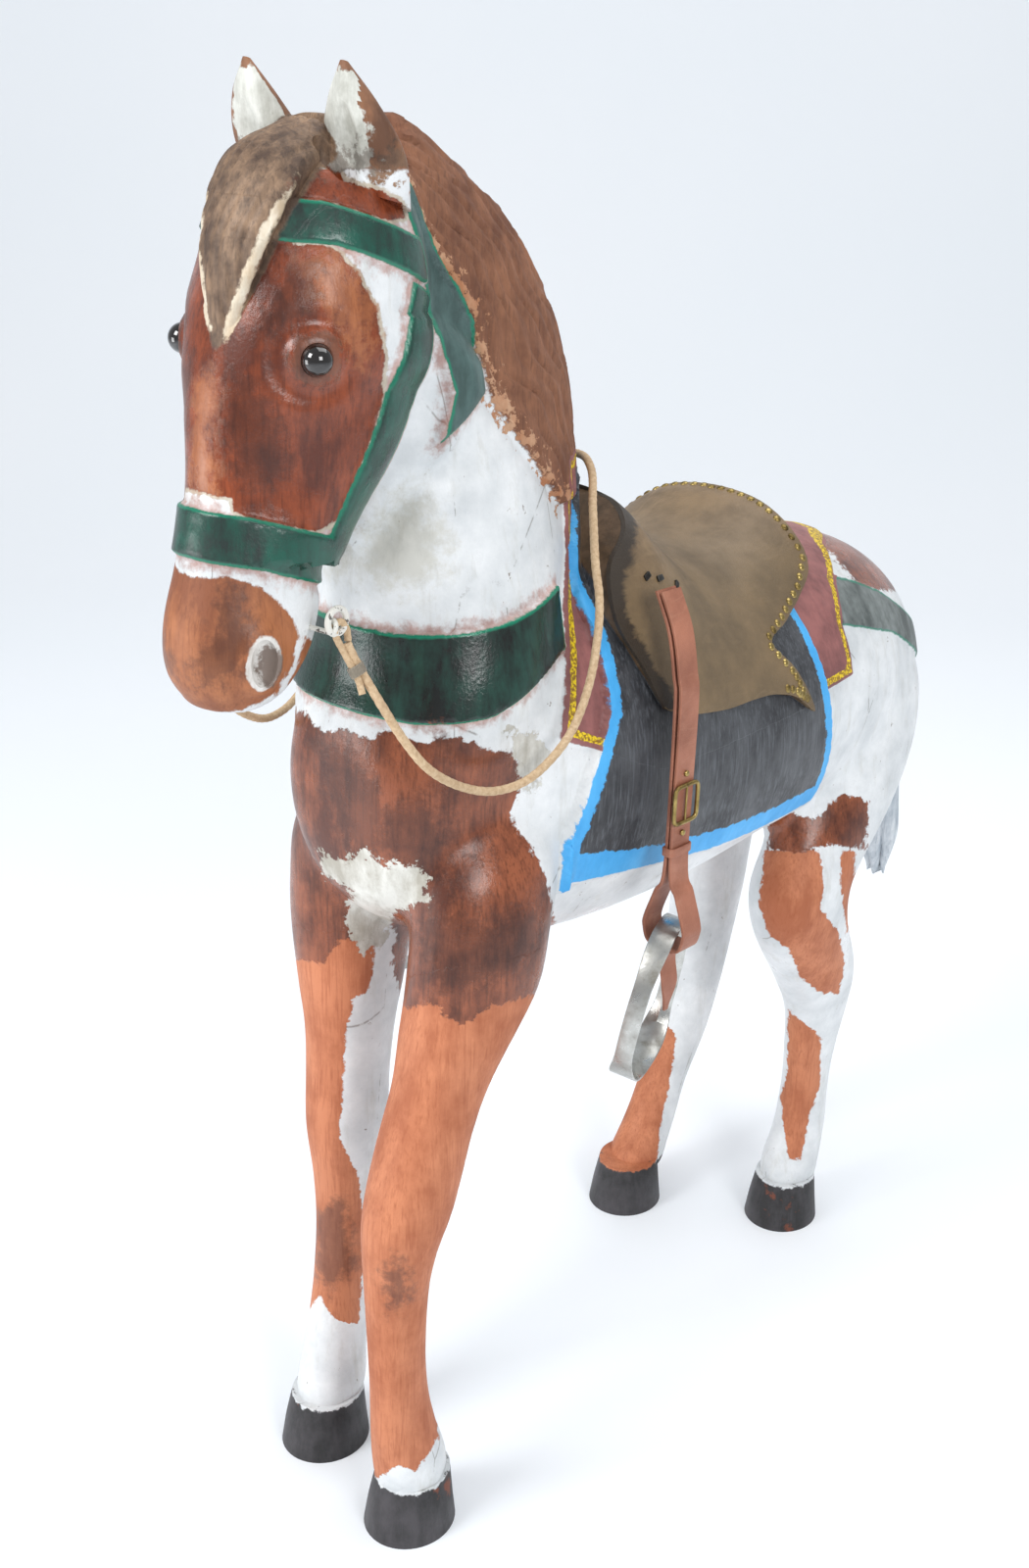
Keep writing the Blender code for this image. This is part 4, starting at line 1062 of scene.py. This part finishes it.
def paintedPine():
    # Old oil paint and varnish on pine: brushed, glossy where thick, chipped down to the wood.
    material, tree, shader, place = startMaterial("oldPaintOnPine")
    edge = addNode(tree, "TexNoise", Vector=place, Scale=85, Detail=7, Roughness=0.7)
    edge = addNode(tree, "Math", edge, 0.5, operation="SUBTRACT")
    patchy = addNode(tree, "TexNoise", Vector=place, Scale=13, Detail=7, Roughness=0.66)
    drawn = addNode(tree, "Mapping", place, Scale=(1, 1, 0.22))
    streaks = addNode(tree, "TexNoise", Vector=drawn, Scale=62, Detail=7, Roughness=0.68)
    mottle = addNode(tree, "MixRGB", 0.42, patchy, streaks)
    drawn = addNode(tree, "Mapping", place, Scale=(1, 1, 0.05))
    grain = addNode(tree, "TexNoise", Vector=drawn, Scale=380, Detail=3, Roughness=0.6)
    drawn = addNode(tree, "Mapping", place, Scale=(1, 1, 0.4))
    crack = addNode(tree, "TexVoronoi", Vector=drawn, Scale=11, feature="DISTANCE_TO_EDGE")
    speckle = addNode(tree, "TexNoise", Vector=place, Scale=330, Detail=3)
    # White ground coat: bluish, greyed and yellowed in places, with a few hair cracks.
    colour = blend(tree, patchy, 0.36, 0.66, "#E9EBEC", "#CACED0")
    colour = blend(tree, streaks, 0.54, 0.78, colour, "#B5B2A6", 0.5)
    line = addNode(tree, "MapRange", crack, 0.0, 0.008, 0.75, 0)
    some = addNode(tree, "MapRange", patchy, 0.56, 0.6)
    line = addNode(tree, "Math", line, some, operation="MULTIPLY")
    colour = addNode(tree, "MixRGB", line, colour, "#6E665E")
    colour = blend(tree, edge, 0.175, 0.19, colour, "#6E5A4C", 0.85)
    rough = addNode(tree, "MapRange", patchy, 0.3, 0.7, 0.24, 0.46)
    height = addNode(tree, "Math", streaks, 0.5, operation="MULTIPLY")
    for name, coat in coats.items():
        depth = addNode(tree, "Attribute", out="Fac", attribute_name=name)
        uneven = addNode(tree, "Math", edge, coat["ragged"] * 2, depth, operation="MULTIPLY_ADD")
        reach = coat.get("reach", 0)
        cover = addNode(tree, "MapRange", uneven, -coat["soft"] - reach, coat["soft"] - reach,
                        0, coat.get("strength", 1), interpolation_type="SMOOTHSTEP")
        layer = blend(tree, mottle, 0.42, 0.58, *coat["tones"])
        if "grain" in coat:
            layer = blend(tree, grain, 0.5, 0.72, layer, coat["grain"], 0.6)
        if "rim" in coat:
            paler, width = coat["rim"]
            rim = addNode(tree, "MapRange", uneven, width * 0.6, width * 1.3, 1, 0)
            layer = addNode(tree, "MixRGB", rim, layer, paler)
        if "rust" in coat:
            layer = blend(tree, patchy, coat["rust"], coat["rust"] + 0.04, layer, "#7C4029", 0.8)
        if "braid" in coat:
            yellow, middle, half = coat["braid"]
            band = addNode(tree, "Math", uneven, middle, half * 0.95, operation="COMPARE")
            braid = blend(tree, speckle, 0.44, 0.58, "#8F6B22", yellow)
            layer = addNode(tree, "MixRGB", band, layer, braid)
        colour = addNode(tree, "MixRGB", cover, colour, layer)
        sheen = addNode(tree, "MapRange", patchy, 0.3, 0.75, coat["rough"] - 0.07,
                        coat["rough"] + 0.16)
        rough = addNode(tree, "MixRGB", cover, rough, sheen)
        height = addNode(tree, "Math", cover, 0.3, height, operation="MULTIPLY_ADD")
    grit = addNode(tree, "Math", speckle, 0.25, height, operation="MULTIPLY_ADD")
    bump = addNode(tree, "Bump", Strength=0.6, Distance=0.0014, Height=grit)
    wire(tree, shader, Base_Color=colour, Roughness=rough, Normal=bump)
    return material

# Saddle leather, over the carved core, and the brass tacks along its edge.
tacks = {
    "radius": 4.8, "height": 2.8, "inset": 5.5, "spacing": 12.8, "segments": 12, "rings": 4,
    # Rear edge of the leather, from the middle of the cantle round the tip of the flap.
    "rear": [(118, 1120), (124, 985), (121, 930), (88, 902), (45, 882), (4, 869), (30, 838),
             (52, 790), (20, 812)],
    "tip": (50, 796),
    "tipSpacing": 8.5,
    "lowerRow": [(40, 806), (32, 812), (24, 817), (15, 821), (6, 824)],
}


def makeLeather():
    cover = combine(saddleForm("saddleLeather", saddle["clearance"] + saddle["leather"]),
                    saddleForm("inside", saddle["clearance"]), "DIFFERENCE")
    outline = catmullRom(saddle["outline"][1:-1], 5)
    outline = [saddle["outline"][0], *map(tuple, outline), saddle["outline"][-1]]
    combine(cover, prism("outline", outline), "INTERSECT")
    return cover


def saddleSection(y, extra):
    # The ring of the saddle's surface nearest to a place along the horse, in millimetres.
    rings = np.array(saddleRings(extra, step=2)) / mm
    return rings[int(np.argmin(np.abs(rings[:, 0, 1] - y)))]


def saddleReach(y, z, extra):
    # How far out the saddle's surface is at a place in the side view, in millimetres.
    ring = saddleSection(y, extra)
    half = ring[len(ring) // 2:len(ring) // 2 + int(len(ring) * 0.31)]
    return 0.0 if z > half[0, 2] else float(np.interp(-z, -half[:, 2], half[:, 0]))


def flapPath(line, extra, inset):
    # The line moved in from the edge, laid on the saddle's surface.
    line = evenly(line, 1.5)
    along = np.gradient(line, axis=0)
    along /= np.linalg.norm(along, axis=1)[:, None]
    inner = line + np.stack([along[:, 1], -along[:, 0]], axis=1) * inset
    inner = inner[depthInside(inner, saddle["outline"]) > inset * 0.93]
    inner[:, 1] = np.minimum(inner[:, 1], 1080)
    path = []
    for y, z in inner:
        reach = saddleReach(y, z, extra)
        path.append((reach, y, z if reach else float(saddleSection(y, extra)[:, 2].max())))
    return np.array(path)


def makeTacks(cover):
    extra = saddle["clearance"] + saddle["leather"]
    path = flapPath(tacks["rear"], extra, tacks["inset"])
    apart = np.linalg.norm(np.diff(path, axis=0), axis=1) > 0.2
    path = evenly(path[np.concatenate([[True], apart])], 0.5)
    spots, gone = [path[0]], 0.0
    for before, spot in zip(path, path[1:]):
        gone += np.linalg.norm(spot - before)
        close = np.hypot(*(spot[1:] - tacks["tip"])) < 45
        if gone >= (tacks["tipSpacing"] if close else tacks["spacing"]):
            spots.append(spot)
            gone = 0.0
    tree = BVHTree.FromObject(cover, bpy.context.evaluated_depsgraph_get())
    spots += [np.array((saddleReach(y, z, extra), y, z)) for y, z in tacks["lowerRow"]]
    heads = []
    for side in (1, -1):
        for spot in spots[0 if side > 0 else 1:]:
            at, normal, _, _ = tree.find_nearest(Vector(spot * mm * (side, 1, 1)))
            heads.append(tackHead(at, normal, len(heads)))
    return joined(heads, "saddleTacks")


# Each staple's place in the photograph's pixels, and its turn in degrees.
slotIron = {"size": (10, 6, 3.4), "bevel": 1.2, "lift": 0.6,
            "seen": [((660, 588), 20), ((673, 590), 0), ((690, 597), 30)]}


def makeSlotIron(cover):
    # Blackened staples where the strap passes into its slot, at their places in the photograph.
    tree = BVHTree.FromObject(cover, bpy.context.evaluated_depsgraph_get())
    right, up, ahead = viewAxes()
    bits = []
    for side in (1, -1):
        for (across, down), turn in slotIron["seen"]:
            ray = ahead * photoView["focalPixels"] + right * (across - photoView["frame"][0] / 2) \
                - up * (down - photoView["frame"][1] / 2)
            at, normal, _, _ = tree.ray_cast(Vector(photoView["place"]), ray.normalized())
            bpy.ops.mesh.primitive_cube_add(size=mm)
            bit = bpy.context.object
            bit.scale = slotIron["size"]
            settled(bit)
            applyModifier(bit, "BEVEL", width=slotIron["bevel"] * mm, segments=3)
            place = normal.to_track_quat("Z", "Y").to_matrix().to_4x4()
            place.translation = at + normal * slotIron["lift"] * mm
            bit.data.transform(place @ Matrix.Rotation(radians(turn), 4, "Z"))
            if side < 0:
                bit.data.transform(Matrix.Scale(-1, 4, (1, 0, 0)))
                outwards(bit)
            bits.append(bit)
    return joined(bits, "slotIron")


def tackHead(at, normal, number):
    # Low dome with a turned-in foot, a few dozen faces.
    steps = np.arange(tacks["segments"]) * tau / tacks["segments"]
    turn = normal.to_track_quat("Z", "Y").to_matrix()
    rings = []
    for share in np.linspace(0, 1, tacks["rings"] + 1):
        reach = tacks["radius"] * cos(share * pi / 2 * 0.93)
        lift = tacks["height"] * sin(share * pi / 2) - 0.6
        rings.append([at + turn @ (Vector((reach * cos(a), reach * sin(a), lift)) * mm)
                      for a in steps])
    return skinned("tack%03d" % number, rings)


# Stirrup leathers, stirrups and buckles hang beside the horse, in millimetres and degrees.
hanging = {"place": (190, -203), "stirrupTop": 632, "buckleLevel": 765}
stirrup = {"height": 162, "width": 118, "band": 30, "wall": 5, "turn": 16, "lean": 10,
           "taper": 0.2, "squareness": 0.82, "ridge": 3.0, "bevel": 0.9,
           "waist": 0.62, "neck": 0.8}      # width of the arms and the top, as shares of the band
strap = {"width": 28, "thickness": 3.5, "turn": -4, "slack": 5.5, "spread": 7.1, "drop": 10.5,
         "split": 85, "top": 968, "lean": [(-30, 0), (-13, -35), (-4, -75), (0, -110)],
         "tail": 78}
buckle = {"wire": 2.2, "height": 38}


def squared(value, power):
    # A sine or cosine, flattened so that a circle drawn with it is a rounded oblong.
    return np.sign(value) * abs(value) ** power


def hang(thing, side, level, turn):
    # Stands a part up beside the horse: its X outwards, its Y up from the level.
    out = Vector((cos(radians(turn)), sin(radians(turn)), 0))
    along = Vector((out.y, -out.x, 0))
    place = Matrix((out, Vector((0, 0, 1)), along)).transposed().to_4x4()
    place.translation = Vector((*hanging["place"], level)) * mm
    if side < 0:
        place = Matrix.Scale(-1, 4, (1, 0, 0)) @ place
    thing.data.transform(place)
    return outwards(thing)


def bandAlong(name, path, section, closed=False, widths=None):
    # Sweeps a section (outwards, across) along a flat path (x, y), all in millimetres.
    path = np.array(path, float)
    if closed:
        along = np.roll(path, -1, axis=0) - np.roll(path, 1, axis=0)
    else:
        along = np.gradient(path, axis=0)
    along /= np.linalg.norm(along, axis=1)[:, None]
    normals = np.stack([along[:, 1], -along[:, 0]], axis=1)
    section = np.array(section, float)
    rings = []
    for index, (spot, normal) in enumerate(zip(path, normals)):
        wide = 1 if widths is None else widths[index]
        flat = spot + section[:, :1] * normal
        rings.append(np.column_stack([flat, section[:, 1] * wide]) * mm)
    return skinned(name, rings, closed)


def makeStirrup(name, side):
    angles = np.linspace(0, tau, 720)
    across = squared(np.sin(angles), stirrup["squareness"])
    across *= stirrup["width"] / 2 * (1 - stirrup["taper"] * np.cos(angles))
    up = squared(np.cos(angles), stirrup["squareness"])
    path = evenly(np.column_stack([across, up * stirrup["height"] / 2]), 4.0)[:-1]
    half, wall, bevel, ridge = (stirrup[key] for key in ("band", "wall", "bevel", "ridge"))
    half /= 2
    section = [(-ridge, -half + bevel), (0, 0), (-ridge, half - bevel),
               (-ridge - bevel, half), (-wall + bevel, half), (-wall, half - bevel),
               (-wall, -half + bevel), (-wall + bevel, -half), (-ridge - bevel, -half)]
    # The section is turned round where the path's normals point into the arch.
    centre = path.mean(axis=0)
    along = np.roll(path, -1, axis=0) - path
    outward = np.sign(np.sum((path - centre) @ np.array([[0, -1], [1, 0]]) * along))
    section = [(away * outward, wide) for away, wide in section]
    level = path[:, 1] / np.abs(path[:, 1]).max()
    widths = stirrup["waist"] + (1 - stirrup["waist"]) * eased(level, -0.45, -0.95) \
        + (stirrup["neck"] - stirrup["waist"]) * eased(level, 0.4, 0.95)
    band = bandAlong(name, path, section, closed=True, widths=widths)
    applyModifier(band, "BEVEL", width=0.4 * mm, segments=2, limit_method="ANGLE",
                  angle_limit=radians(28))
    hung = Matrix.Translation((0, -stirrup["height"] / 2 * mm, 0))
    lean = Matrix.Rotation(-radians(stirrup["lean"]), 4, "Z")
    band.data.transform(lean @ hung @ Matrix.Rotation(pi / 2, 4, "Y"))
    return hang(band, side, hanging["stirrupTop"], stirrup["turn"])


def strapSection(thickness, width):
    half, edge = width / 2, 0.8
    deep = thickness / 2
    return [(-deep, -half + edge), (-deep, half - edge), (-deep + edge, half), (deep - edge, half),
            (deep, half - edge), (deep, -half + edge), (deep - edge, -half), (-deep + edge, -half)]


def makeStrap(name, side):
    thick, slack = strap["thickness"], strap["slack"]
    rise = strap["top"] - hanging["stirrupTop"]
    half = stirrup["band"] / 2 + strap["spread"]
    low = -stirrup["wall"] - strap["drop"]
    split = low + strap["split"]
    layer = thick / 2 + slack / 4
    lean = [(out, rise + up) for out, up in strap["lean"]]
    down = [(out + layer, up) for out, up in lean]
    turn = [(layer, split), (half * 0.5 + thick / 2, split * 0.55), (half + thick / 2 - 0.5, 8),
            (half + thick / 2, -4), (half * 0.8, low - thick * 0.55), (0, low - thick * 0.6)]
    back = [(-out, up) for out, up in reversed(turn[:-1])] + \
        [(out - layer, up) for out, up in reversed(lean)]
    path = catmullRom(down + turn + back, 6)
    main = bandAlong(name, path, strapSection(thick, strap["width"]))
    # The strap's free end hangs inside the stirrup.
    tail = [(half * 0.5, low - thick * 1.7), (half * 0.1, low - thick * 2.4),
            (-2, low - 22), (2, low - 48), (-1, low - strap["tail"])]
    tailPath = catmullRom(tail, 8)
    widths = 1 - 0.75 * eased(np.linspace(0, 1, len(tailPath)), 0.72, 1.0)
    end = bandAlong(name + "End", tailPath, strapSection(thick * 0.8, strap["width"] * 0.86),
                    widths=widths)
    keeper = bandAlong(name + "Keeper", keeperPath(layer + thick / 2 + 0.4),
                       strapSection(2.0, 9), closed=True)
    keeper.data.transform(Matrix.Translation((0, (split + 14) * mm, 0))
                          @ Matrix.Rotation(pi / 2, 4, "X"))
    whole = joined([main, end, keeper], name)
    return hang(whole, side, hanging["stirrupTop"], strap["turn"])


def keeperPath(deep):
    # Rounded oblong round both layers of the strap.
    half = strap["width"] / 2 + 1.6
    angles = np.arange(28) * tau / 28
    return [(squared(cos(a), 0.4) * (deep + 1.2), squared(sin(a), 0.4) * half) for a in angles]


def makeBuckle(name, side):
    wire = buckle["wire"]
    half = strap["width"] / 2 + wire + strap["slack"] / 4
    high = buckle["height"] / 2
    out = strap["thickness"] + strap["slack"] / 4 + wire + saddle["clearance"]
    angles = np.arange(72) * tau / 72
    path = [(squared(cos(a), 0.32) * half, squared(sin(a), 0.32) * high) for a in angles]
    path = evenly(path + path[:1], 1.6)[:-1]
    ring = [(wire * cos(a), wire * sin(a)) for a in np.arange(12) * tau / 12]
    frameLoop = bandAlong(name, path, ring, closed=True)
    prong = bandAlong("prong", catmullRom([(0, high + wire), (0.2, high * 0.4), (0, -high * 0.3),
                                           (0, -high - wire * 0.6)], 6),
                      [(wire * 0.55 * a, wire * 0.55 * b) for a, b in unitRing(10)])
    rivets = [rivet("rivet", (0, up, -wire * 0.4)) for up in (high + 11, -high - 12)]
    whole = joined([frameLoop, prong, *rivets], name)
    whole.data.transform(Matrix.Translation((out * mm, 0, 0)) @ Matrix.Rotation(pi / 2, 4, "Y"))
    return hang(whole, side, hanging["buckleLevel"], strap["turn"])


def unitRing(count):
    return [(cos(k * tau / count), sin(k * tau / count)) for k in range(count)]


def rivet(name, place):
    rings = []
    for reach, lift in ((3.1, -1.2), (3.1, 0.1), (2.5, 0.9), (1.2, 1.35)):
        rings.append([((place[0] + reach * a) * mm, (place[1] + reach * b) * mm,
                       (place[2] + lift) * mm) for a, b in unitRing(14)])
    return skinned(name, rings)


def makeEye(name, side):
    x, y, z = np.array(carving["eye"]) * mm * (side, 1, 1)
    bpy.ops.mesh.primitive_uv_sphere_add(segments=48, ring_count=24, location=(x, y, z),
                                         radius=carving["eyeRadius"] * mm)
    eye = settled(bpy.context.object)
    eye.name = name
    return eye


# The ring in the mouth's corner and the stem that holds it, in metres.
bitRing = {
    "radius": 0.0105, "wire": 0.0029, "stemWire": 0.0046,
    "stem": [(0.036, -0.552, 0.9842), (0.056, -0.552, 0.9842), (0.0685, -0.5518, 0.9843),
             (0.0728, -0.5514, 0.9866), (0.0735, -0.5508, 0.9915), (0.070, -0.5500, 0.9945),
             (0.064, -0.5505, 0.9925)],
}


def makeBitRing(name, side):
    x, y, z = np.array(rein["bitPlace"]) * mm * (side, 1, 1)
    bpy.ops.mesh.primitive_torus_add(
        major_radius=bitRing["radius"], minor_radius=bitRing["wire"], major_segments=56,
        minor_segments=16, location=(x, y, z), rotation=(0, pi / 2, 0))
    ring = settled(bpy.context.object)
    stem = catmullRom([(side * out, y, z) for out, y, z in bitRing["stem"]], 6)
    hook, _ = twistedRope("hook", stem, bitRing["stemWire"], 1, 9.0, sides=14)
    return joined([ring, hook], name)


def wornHide(name, tones, rubbed, roughness, grain, edged=False):
    # Old vegetable-tanned leather: dry, grained, rubbed pale on its high places.
    material, tree, shader, place = startMaterial(name, roughness=roughness)
    fine = addNode(tree, "TexVoronoi", Vector=place, Scale=grain, Randomness=1.0)
    cloud = addNode(tree, "TexNoise", Vector=place, Scale=17, Detail=6, Roughness=0.62)
    drawn = addNode(tree, "Mapping", place, Scale=(1, 0.3, 1))
    drawn = addNode(tree, "TexNoise", Vector=drawn, Scale=60, Detail=6, Roughness=0.65,
                    Distortion=1.2)
    colour = blend(tree, cloud, 0.36, 0.66, *tones)
    colour = blend(tree, drawn, 0.54, 0.76, colour, rubbed, 0.5)
    if edged:                # blackened and cracked along the edge, greener on the flap
        shade = addNode(tree, "Attribute", out="Fac", attribute_name="seatShade")
        colour = blend(tree, shade, -0.02, 0.04, colour, "#6F6148", 0.55)
        depth = addNode(tree, "Attribute", out="Fac", attribute_name="wornEdge")
        depth = addNode(tree, "Math", drawn, 0.03, depth, operation="MULTIPLY_ADD")
        colour = blend(tree, depth, 0.012, 0.018, colour, "#2B231B", 0.92)
    rough = addNode(tree, "MapRange", cloud, 0.3, 0.7, roughness - 0.1, roughness + 0.12)
    height = addNode(tree, "Math", fine, 0.5, drawn, operation="MULTIPLY_ADD")
    bump = addNode(tree, "Bump", Strength=0.5, Distance=0.0008, Height=height)
    wire(tree, shader, Base_Color=colour, Roughness=rough, Normal=bump)
    return material


def agedMetal(name, tones, roughness, metallic, spots):
    # Cast or pressed metal: dulled by handling, pitted and darkened in places.
    material, tree, shader, place = startMaterial(name, roughness=roughness, metallic=metallic)
    cloud = addNode(tree, "TexNoise", Vector=place, Scale=45, Detail=6, Roughness=0.65)
    pits = addNode(tree, "TexNoise", Vector=place, Scale=420, Detail=4, Roughness=0.6)
    colour = blend(tree, cloud, 0.38, 0.66, *tones)
    colour = blend(tree, cloud, 0.56, 0.72, colour, spots, 0.7)
    rough = addNode(tree, "MapRange", cloud, 0.35, 0.7, roughness - 0.08, roughness + 0.22)
    bump = addNode(tree, "Bump", Strength=0.35, Distance=0.0004, Height=pits)
    wire(tree, shader, Base_Color=colour, Roughness=rough, Normal=bump)
    return material


def blackGlass():
    # Lampworked glass: black, a clear hard gloss.
    material, tree, shader, place = startMaterial("blackGlass", roughness=0.05)
    cloud = addNode(tree, "TexNoise", Vector=place, Scale=40, Detail=2)
    wire(tree, shader, Base_Color=addNode(tree, "MixRGB", cloud, "#0B0908", "#181210"))
    shader.inputs["Coat Weight"].default_value = 1.0
    shader.inputs["Coat Roughness"].default_value = 0.02
    return material


def chippedEnamel():
    # White enamel paint on steel, chipped to the dark metal.
    material, tree, shader, place = startMaterial("chippedEnamel", roughness=0.35)
    chips = addNode(tree, "TexNoise", Vector=place, Scale=150, Detail=5, Roughness=0.6)
    bare = addNode(tree, "MapRange", chips, 0.57, 0.6)
    colour = addNode(tree, "MixRGB", bare, "#DCDAD2", "#5B5650")
    bump = addNode(tree, "Bump", Strength=0.4, Distance=0.0004, Height=bare, invert=True)
    wire(tree, shader, Base_Color=colour, Normal=bump)
    return material

storePaint(horse)
shadeBy(horse, 50)
dressed(horse, paintedPine(), "painted_wood", "horse")
print("horse painted")

leather = makeLeather()
shadeBy(leather, 45)
points = read(leather)
edge = depthInside(points[:, 1:] / mm, saddle["outline"][1:-1]) * mm
front = (points[:, 1] < -0.09) & (points[:, 2] > 0.852)
storeField(leather, "wornEdge", np.where(front, 0.013 - edge, -0.05))
storeField(leather, "seatShade", np.clip((1.03 - points[:, 2]) * 0.4, -0.05, 0.05))
dressed(leather, wornHide("oliveSaddleHide", ("#8A6E4C", "#594430"), "#A08462", 0.5, 600, True),
        "saddle_leather", "saddle_leather")
brassTacks = makeTacks(leather)
shadeBy(brassTacks, 60)
brass = agedMetal("tarnishedBrass", ("#B29C62", "#77633A"), 0.34, 1.0, "#3A3224")
dressed(brassTacks, brass, "aged_brass")
staples = makeSlotIron(leather)
shadeBy(staples, 40)
dressed(staples, agedMetal("blackenedIron", ("#4A4845", "#2A2826"), 0.45, 0.9, "#1B1918"), None)
print("saddle covered")

hide = wornHide("tanStrapHide", ("#B0735A", "#905A45"), "#BE8A70", 0.5, 600)
cast = agedMetal("castAluminium", ("#C6C6C2", "#A9A8A2"), 0.3, 1.0, "#8A857A")
enamel, glass = chippedEnamel(), blackGlass()
for side, word in ((1, "left"), (-1, "right")):
    for make, name, finish, slotName, node in (
            (makeStirrup, "stirrup", cast, "cast_aluminium", "stirrup_"),
            (makeStrap, "stirrupStrap", hide, "strap_leather", "stirrup_strap_"),
            (makeBuckle, "stirrupBuckle", brass, "aged_brass", "stirrup_buckle_"),
            (makeEye, "eye", glass, "eye_glass", "eye_"),
            (makeBitRing, "bitRing", enamel, "white_painted_steel", "bit_ring_")):
        piece = make(name + word.capitalize(), side)
        shadeBy(piece, 40)
        dressed(piece, finish, slotName, node + word)
print("stirrups, eyes and bit rings done")


# Studio: a pale floor that curves up behind, soft light from windows above.
studio = {
    "floor": 9.0, "behind": 3.0, "wall": 5.5, "bend": 2.2, "aim": 0.75,
    "colour": "#ECEEF1", "shade": "#E2E8ED", "world": "#EAEDF1", "worldStrength": 0.52, "glow": 0.2,
    "lamps": [
        {"name": "keyWindow", "place": (-0.9, -3.3, 3.1), "size": 1.5, "power": 88},
        {"name": "sideWindow", "place": (3.3, -1.7, 2.5), "size": 1.5, "power": 62},
        {"name": "lowSoft", "place": (-1.3, -2.3, 0.8), "size": 0.9, "power": 14},
        {"name": "topSoft", "place": (0.3, 0.9, 4.0), "size": 2.8, "power": 62},
    ],
}


def makeStudio():
    half, behind, bend = studio["floor"], studio["behind"], studio["bend"]
    profile = [(-half, 0.0), (behind, 0.0)]
    profile += [(behind + bend * sin(a), bend * (1 - cos(a)))
                for a in np.linspace(0.05, pi / 2, 24)]
    profile += [(behind + bend, bend + studio["wall"])]
    corners, faces = [], []
    ahead = viewAxes()[2]
    away = Vector((ahead.x, ahead.y, 0)).normalized()
    level = Vector((away.y, -away.x, 0))
    for far, rise in profile:
        for side in (-half, half):
            corners.append(away * far + level * side + Vector((0, 0, rise)))
    for k in range(len(profile) - 1):
        faces.append((2 * k, 2 * k + 1, 2 * k + 3, 2 * k + 2))
    mesh = bpy.data.meshes.new("backdrop")
    mesh.from_pydata([tuple(corner) for corner in corners], [], faces)
    backdrop = bpy.data.objects.new("backdrop", mesh)
    bpy.context.scene.collection.objects.link(backdrop)
    backdrop.data.shade_smooth()
    material, tree, shader, place = startMaterial("paperBackdrop", roughness=0.9)
    cloud = addNode(tree, "TexNoise", Vector=place, Scale=0.6, Detail=2)
    wire(tree, shader, Base_Color=addNode(tree, "MixRGB", cloud, studio["colour"], studio["shade"]))
    shader.inputs["Emission Color"].default_value = (*toLinear(studio["colour"]), 1)
    shader.inputs["Emission Strength"].default_value = studio["glow"]
    backdrop.data.materials.append(material)
    for lamp in studio["lamps"]:
        bpy.ops.object.light_add(type="AREA", location=lamp["place"])
        light = bpy.context.object
        light.name = lamp["name"]
        light.data.size = lamp["size"]
        light.data.energy = lamp["power"]
        aim = Vector((0, 0, studio["aim"])) - Vector(lamp["place"])
        light.rotation_euler = aim.to_track_quat("-Z", "Y").to_euler()
    world = bpy.data.worlds.new("studioWorld")
    bpy.context.scene.world = world
    world.use_nodes = True
    background = world.node_tree.nodes["Background"]
    background.inputs["Color"].default_value = (*toLinear(studio["world"]), 1)
    background.inputs["Strength"].default_value = studio["worldStrength"]
    bpy.context.scene.view_settings.view_transform = "Standard"


makeStudio()
print("studio lit")
